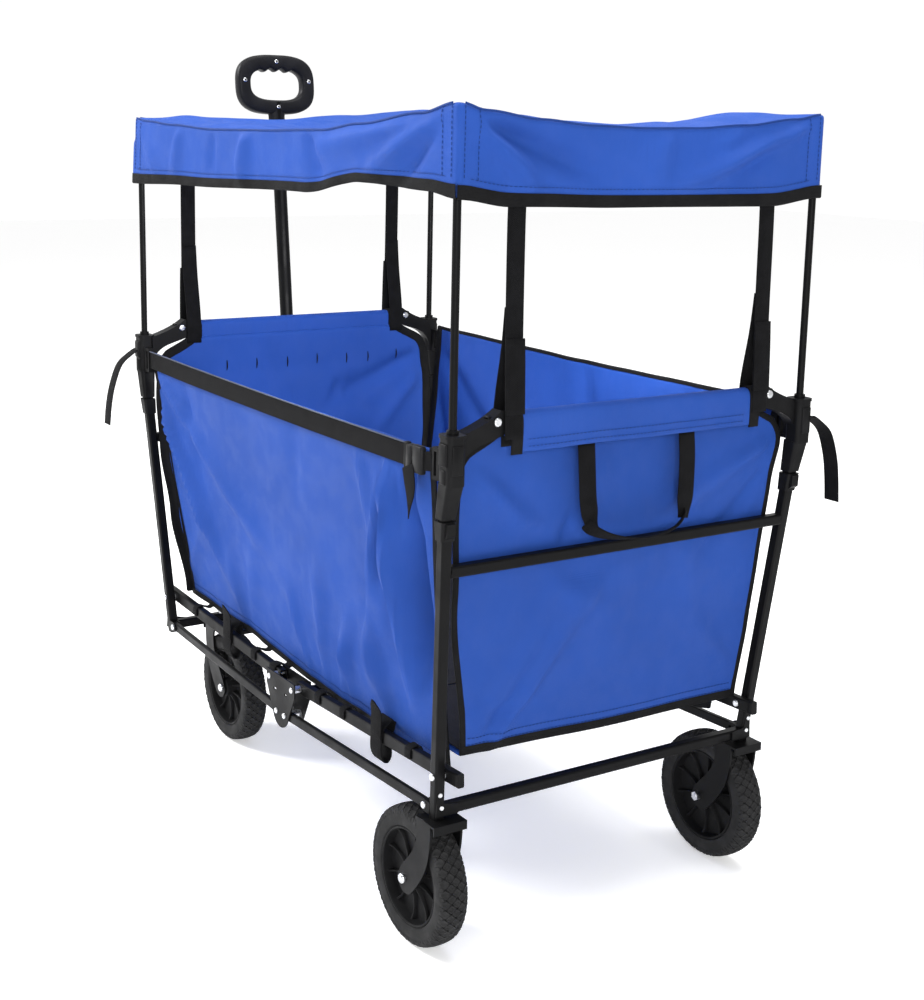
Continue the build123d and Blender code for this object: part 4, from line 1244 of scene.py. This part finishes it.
def tyre(name, node, body):
    """Tyre body with staggered rows of raised, dished diamonds and small shoulder blocks."""
    c = middle_of(node)
    shape = Shape()
    side = [(66.8, 16.5), (68.5, 19.0), (72, 20.0), (76, 20.4), (80, 20.3), (84, 19.8), (87, 18.6)]
    crown = [(tread_radius(y), y) for y in (15.5, 10, 4, 0, -4, -10, -15.5)]
    profile = side + crown + [(r, -y) for r, y in reversed(side)]
    lathe(shape, profile + [profile[0]], c, 96)
    pitch = 2 * math.pi / TREAD_BLOCKS
    for j in range(5):
        y = ROW_PITCH * (j - 2)
        for k in range(TREAD_BLOCKS):
            turn = pitch * (k + (0.5 if j % 2 else 0))
            rings = []
            for lift, spread in ((-1.2, 0.98), (2.2, 0.90), (3.0, 0.78), (2.6, 0.55), (1.7, 0.42)):
                ring = []
                for a in round_turn(12):
                    power = abs(math.cos(a)) ** BLOCK_POWER + abs(math.sin(a)) ** BLOCK_POWER
                    reach = power ** (-1 / BLOCK_POWER)
                    da = 0.49 * pitch * math.cos(a) * reach * spread
                    yy = clamp(y + BLOCK_HALF * math.sin(a) * reach * spread, -TREAD_HALF, TREAD_HALF)
                    over = max(0.0, abs(yy) - 16.0)
                    r = tread_radius(yy) + lift - over * 0.9
                    ring.append(c + Vector((r * math.cos(turn + da), yy, r * math.sin(turn + da))) / 1000)
                rings.append(ring)
            start = shape.grid(rings, closed=True)
            shape.fan(range(start + 48, start + 60))
    for sign in (-1, 1):
        for k in range(TREAD_BLOCKS):
            a = pitch * (k + 0.5)
            ring_low, ring_high = [], []
            for da, r in ((-0.030, 83.5), (0.030, 83.5), (0.022, 90.0), (-0.022, 90.0)):
                y_face = 19.4 if r < 86 else 17.6
                for lift, ring in ((-0.8, ring_low), (1.0, ring_high)):
                    offset = Vector((r * math.cos(a + da), sign * (y_face + lift), r * math.sin(a + da)))
                    ring.append(c + offset / 1000)
            start = shape.grid([ring_low, ring_high], closed=True)
            shape.fan(range(start + 4, start + 8))
    obj = shape.build(name, M["rubber"], body, 38)
    fix_normals(obj)
    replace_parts(obj, node)


def rim(name, node, body):
    """Deep flat disc between two lips, thin radial ribs and a long hub."""
    c = middle_of(node)
    shape = Shape()
    barrel = [(66.7, -16), (66.4, -17.6), (64.8, -18.0), (63.4, -17.2), (62.4, -12), (61.6, -4.2), (59, -3.2),
              (40, -2.6), (20, -2.6), (18.5, -3.6), (16.5, -12), (15.5, -19), (13.5, -20.4), (8, -20.8),
              (4.1, -20.8)]
    profile = barrel + [(r, -y) for r, y in reversed(barrel)]
    lathe(shape, profile, c, 96)
    for sign in (-1, 1):
        for k in range(RIM_RIBS):
            a = 2 * math.pi * (k + 0.5) / RIM_RIBS
            u, v = Vector((math.cos(a), 0, math.sin(a))), Vector((-math.sin(a), 0, math.cos(a)))
            rows = []
            for r, half, top in RIB_SECTIONS:
                section = [(-half - 0.5, 1.5), (-half, top - 0.8), (-half + 0.6, top), (half - 0.6, top),
                           (half, top - 0.8), (half + 0.5, 1.5)]
                rows.append([c + (u * r + v * aside + Y_AXIS * sign * y) / 1000 for aside, y in section])
            shape.grid(rows)
    obj = shape.build(name, M["rim"], body, 35)
    fix_normals(obj)
    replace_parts(obj, node)


for end in ("rear", "front"):
    for side in ("left", "right"):
        body = "%s_wheel_%s" % (end, side)
        tyre("tread_%s_%s" % (end, side), "%s_tyre_%s" % (end, side), body)
        rim("wheel_rim_%s_%s" % (end, side), "%s_rim_%s" % (end, side), body)


# ---------------------------------------------------------------- pull handle grip
# The handle's pivot and its way from there to the grip's middle in millimetres, and its lean in degrees.
HANDLE_PIVOT, GRIP_RISE, HANDLE_LEAN = (-457, 0, 198), 932, 6.3
# Outlines of the grip as half width, half height and the power that squares their corners.
GRIP_OUTER, GRIP_INNER = (75.0, 52.0, 3.0), (50.0, 27.0, 2.9)
GRIP_DEPTH = 11.2
# The ridges between the fingers on the grip's inside top: their places, height and half width.
FINGER_PLACES, FINGER_RISE, FINGER_HALF = (-21, 0, 21), 4.6, 9.5
# Outline of a screw's head as (radius, height).
SCREW_HEAD = [(3.6, -0.6), (3.6, 0.5), (2.9, 1.0), (1.4, 0.9), (1.2, 0.3)]


def grip():
    """D-ring grip: a rounded section swept between its outer and inner outlines."""
    lean = math.radians(HANDLE_LEAN)
    up = Vector((-math.sin(lean), 0, math.cos(lean)))
    out = Vector((math.cos(lean), 0, math.sin(lean)))
    centre = at(*HANDLE_PIVOT) + up * GRIP_RISE / 1000

    def outline(angle, half_w, half_h, power):
        c, s = math.cos(angle), math.sin(angle)
        r = (abs(c / half_w) ** power + abs(s / half_h) ** power) ** (-1 / power)
        return r * c, r * s
    rows = []
    for a in round_turn(128):
        ox, oz = outline(a, *GRIP_OUTER)
        ix, iz = outline(a, *GRIP_INNER)
        if iz > 10:
            near = min(abs(ix - place) for place in FINGER_PLACES)
            iz -= FINGER_RISE * math.cos(min(near / FINGER_HALF, 1) * math.pi / 2) ** 2
        ring = []
        for b in round_turn(16):
            share, depth = (math.copysign(abs(v) ** 0.55, v) for v in (math.cos(b), math.sin(b)))
            mid_x, mid_z = (ox + ix) / 2, (oz + iz) / 2
            half_x, half_z = (ox - ix) / 2, (oz - iz) / 2
            across = Y_AXIS * (mid_x + half_x * share) + up * (mid_z + half_z * share)
            ring.append(centre + (across + out * GRIP_DEPTH * depth) / 1000)
        rows.append(ring)
    shape = Shape()
    rows.append(rows[0])
    shape.grid(rows, closed=True)
    neck = []
    for d, r in ((-74, 14.9), (-72, 15.0), (-55, 15.0), (-47, 16.5), (-40, 19)):
        deep = min(r, 15.5) * 0.76 * (1 if d < -50 else 0.95)
        neck.append([centre + (up * d + Y_AXIS * r * math.cos(t) + out * deep * math.sin(t)) / 1000
                     for t in round_turn(32)])
    shape.grid(neck, closed=True)
    obj = weld(shape.build("grip_ring", M["grip"], "handle_upper"), 0.00005)
    fix_normals(obj)
    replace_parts(obj, "handle_grip")
    screws = Shape()
    for y, d in ((0, 39.5), (-62.5, 6), (62.5, 6), (0, -39.5)):
        for sign in (-1, 1):
            c = centre + (up * d + Y_AXIS * y + out * sign * 10.6) / 1000
            rows = [[c + (Y_AXIS * r * math.cos(t) + up * r * math.sin(t) + out * sign * h) / 1000
                     for t in round_turn(20)] for r, h in SCREW_HEAD]
            start = screws.grid(rows, closed=True)
            screws.fan(range(start + 80, start + 100))
    obj = screws.build("grip_screws", M["steel"], "handle_upper", 40)
    fix_normals(obj)


grip()
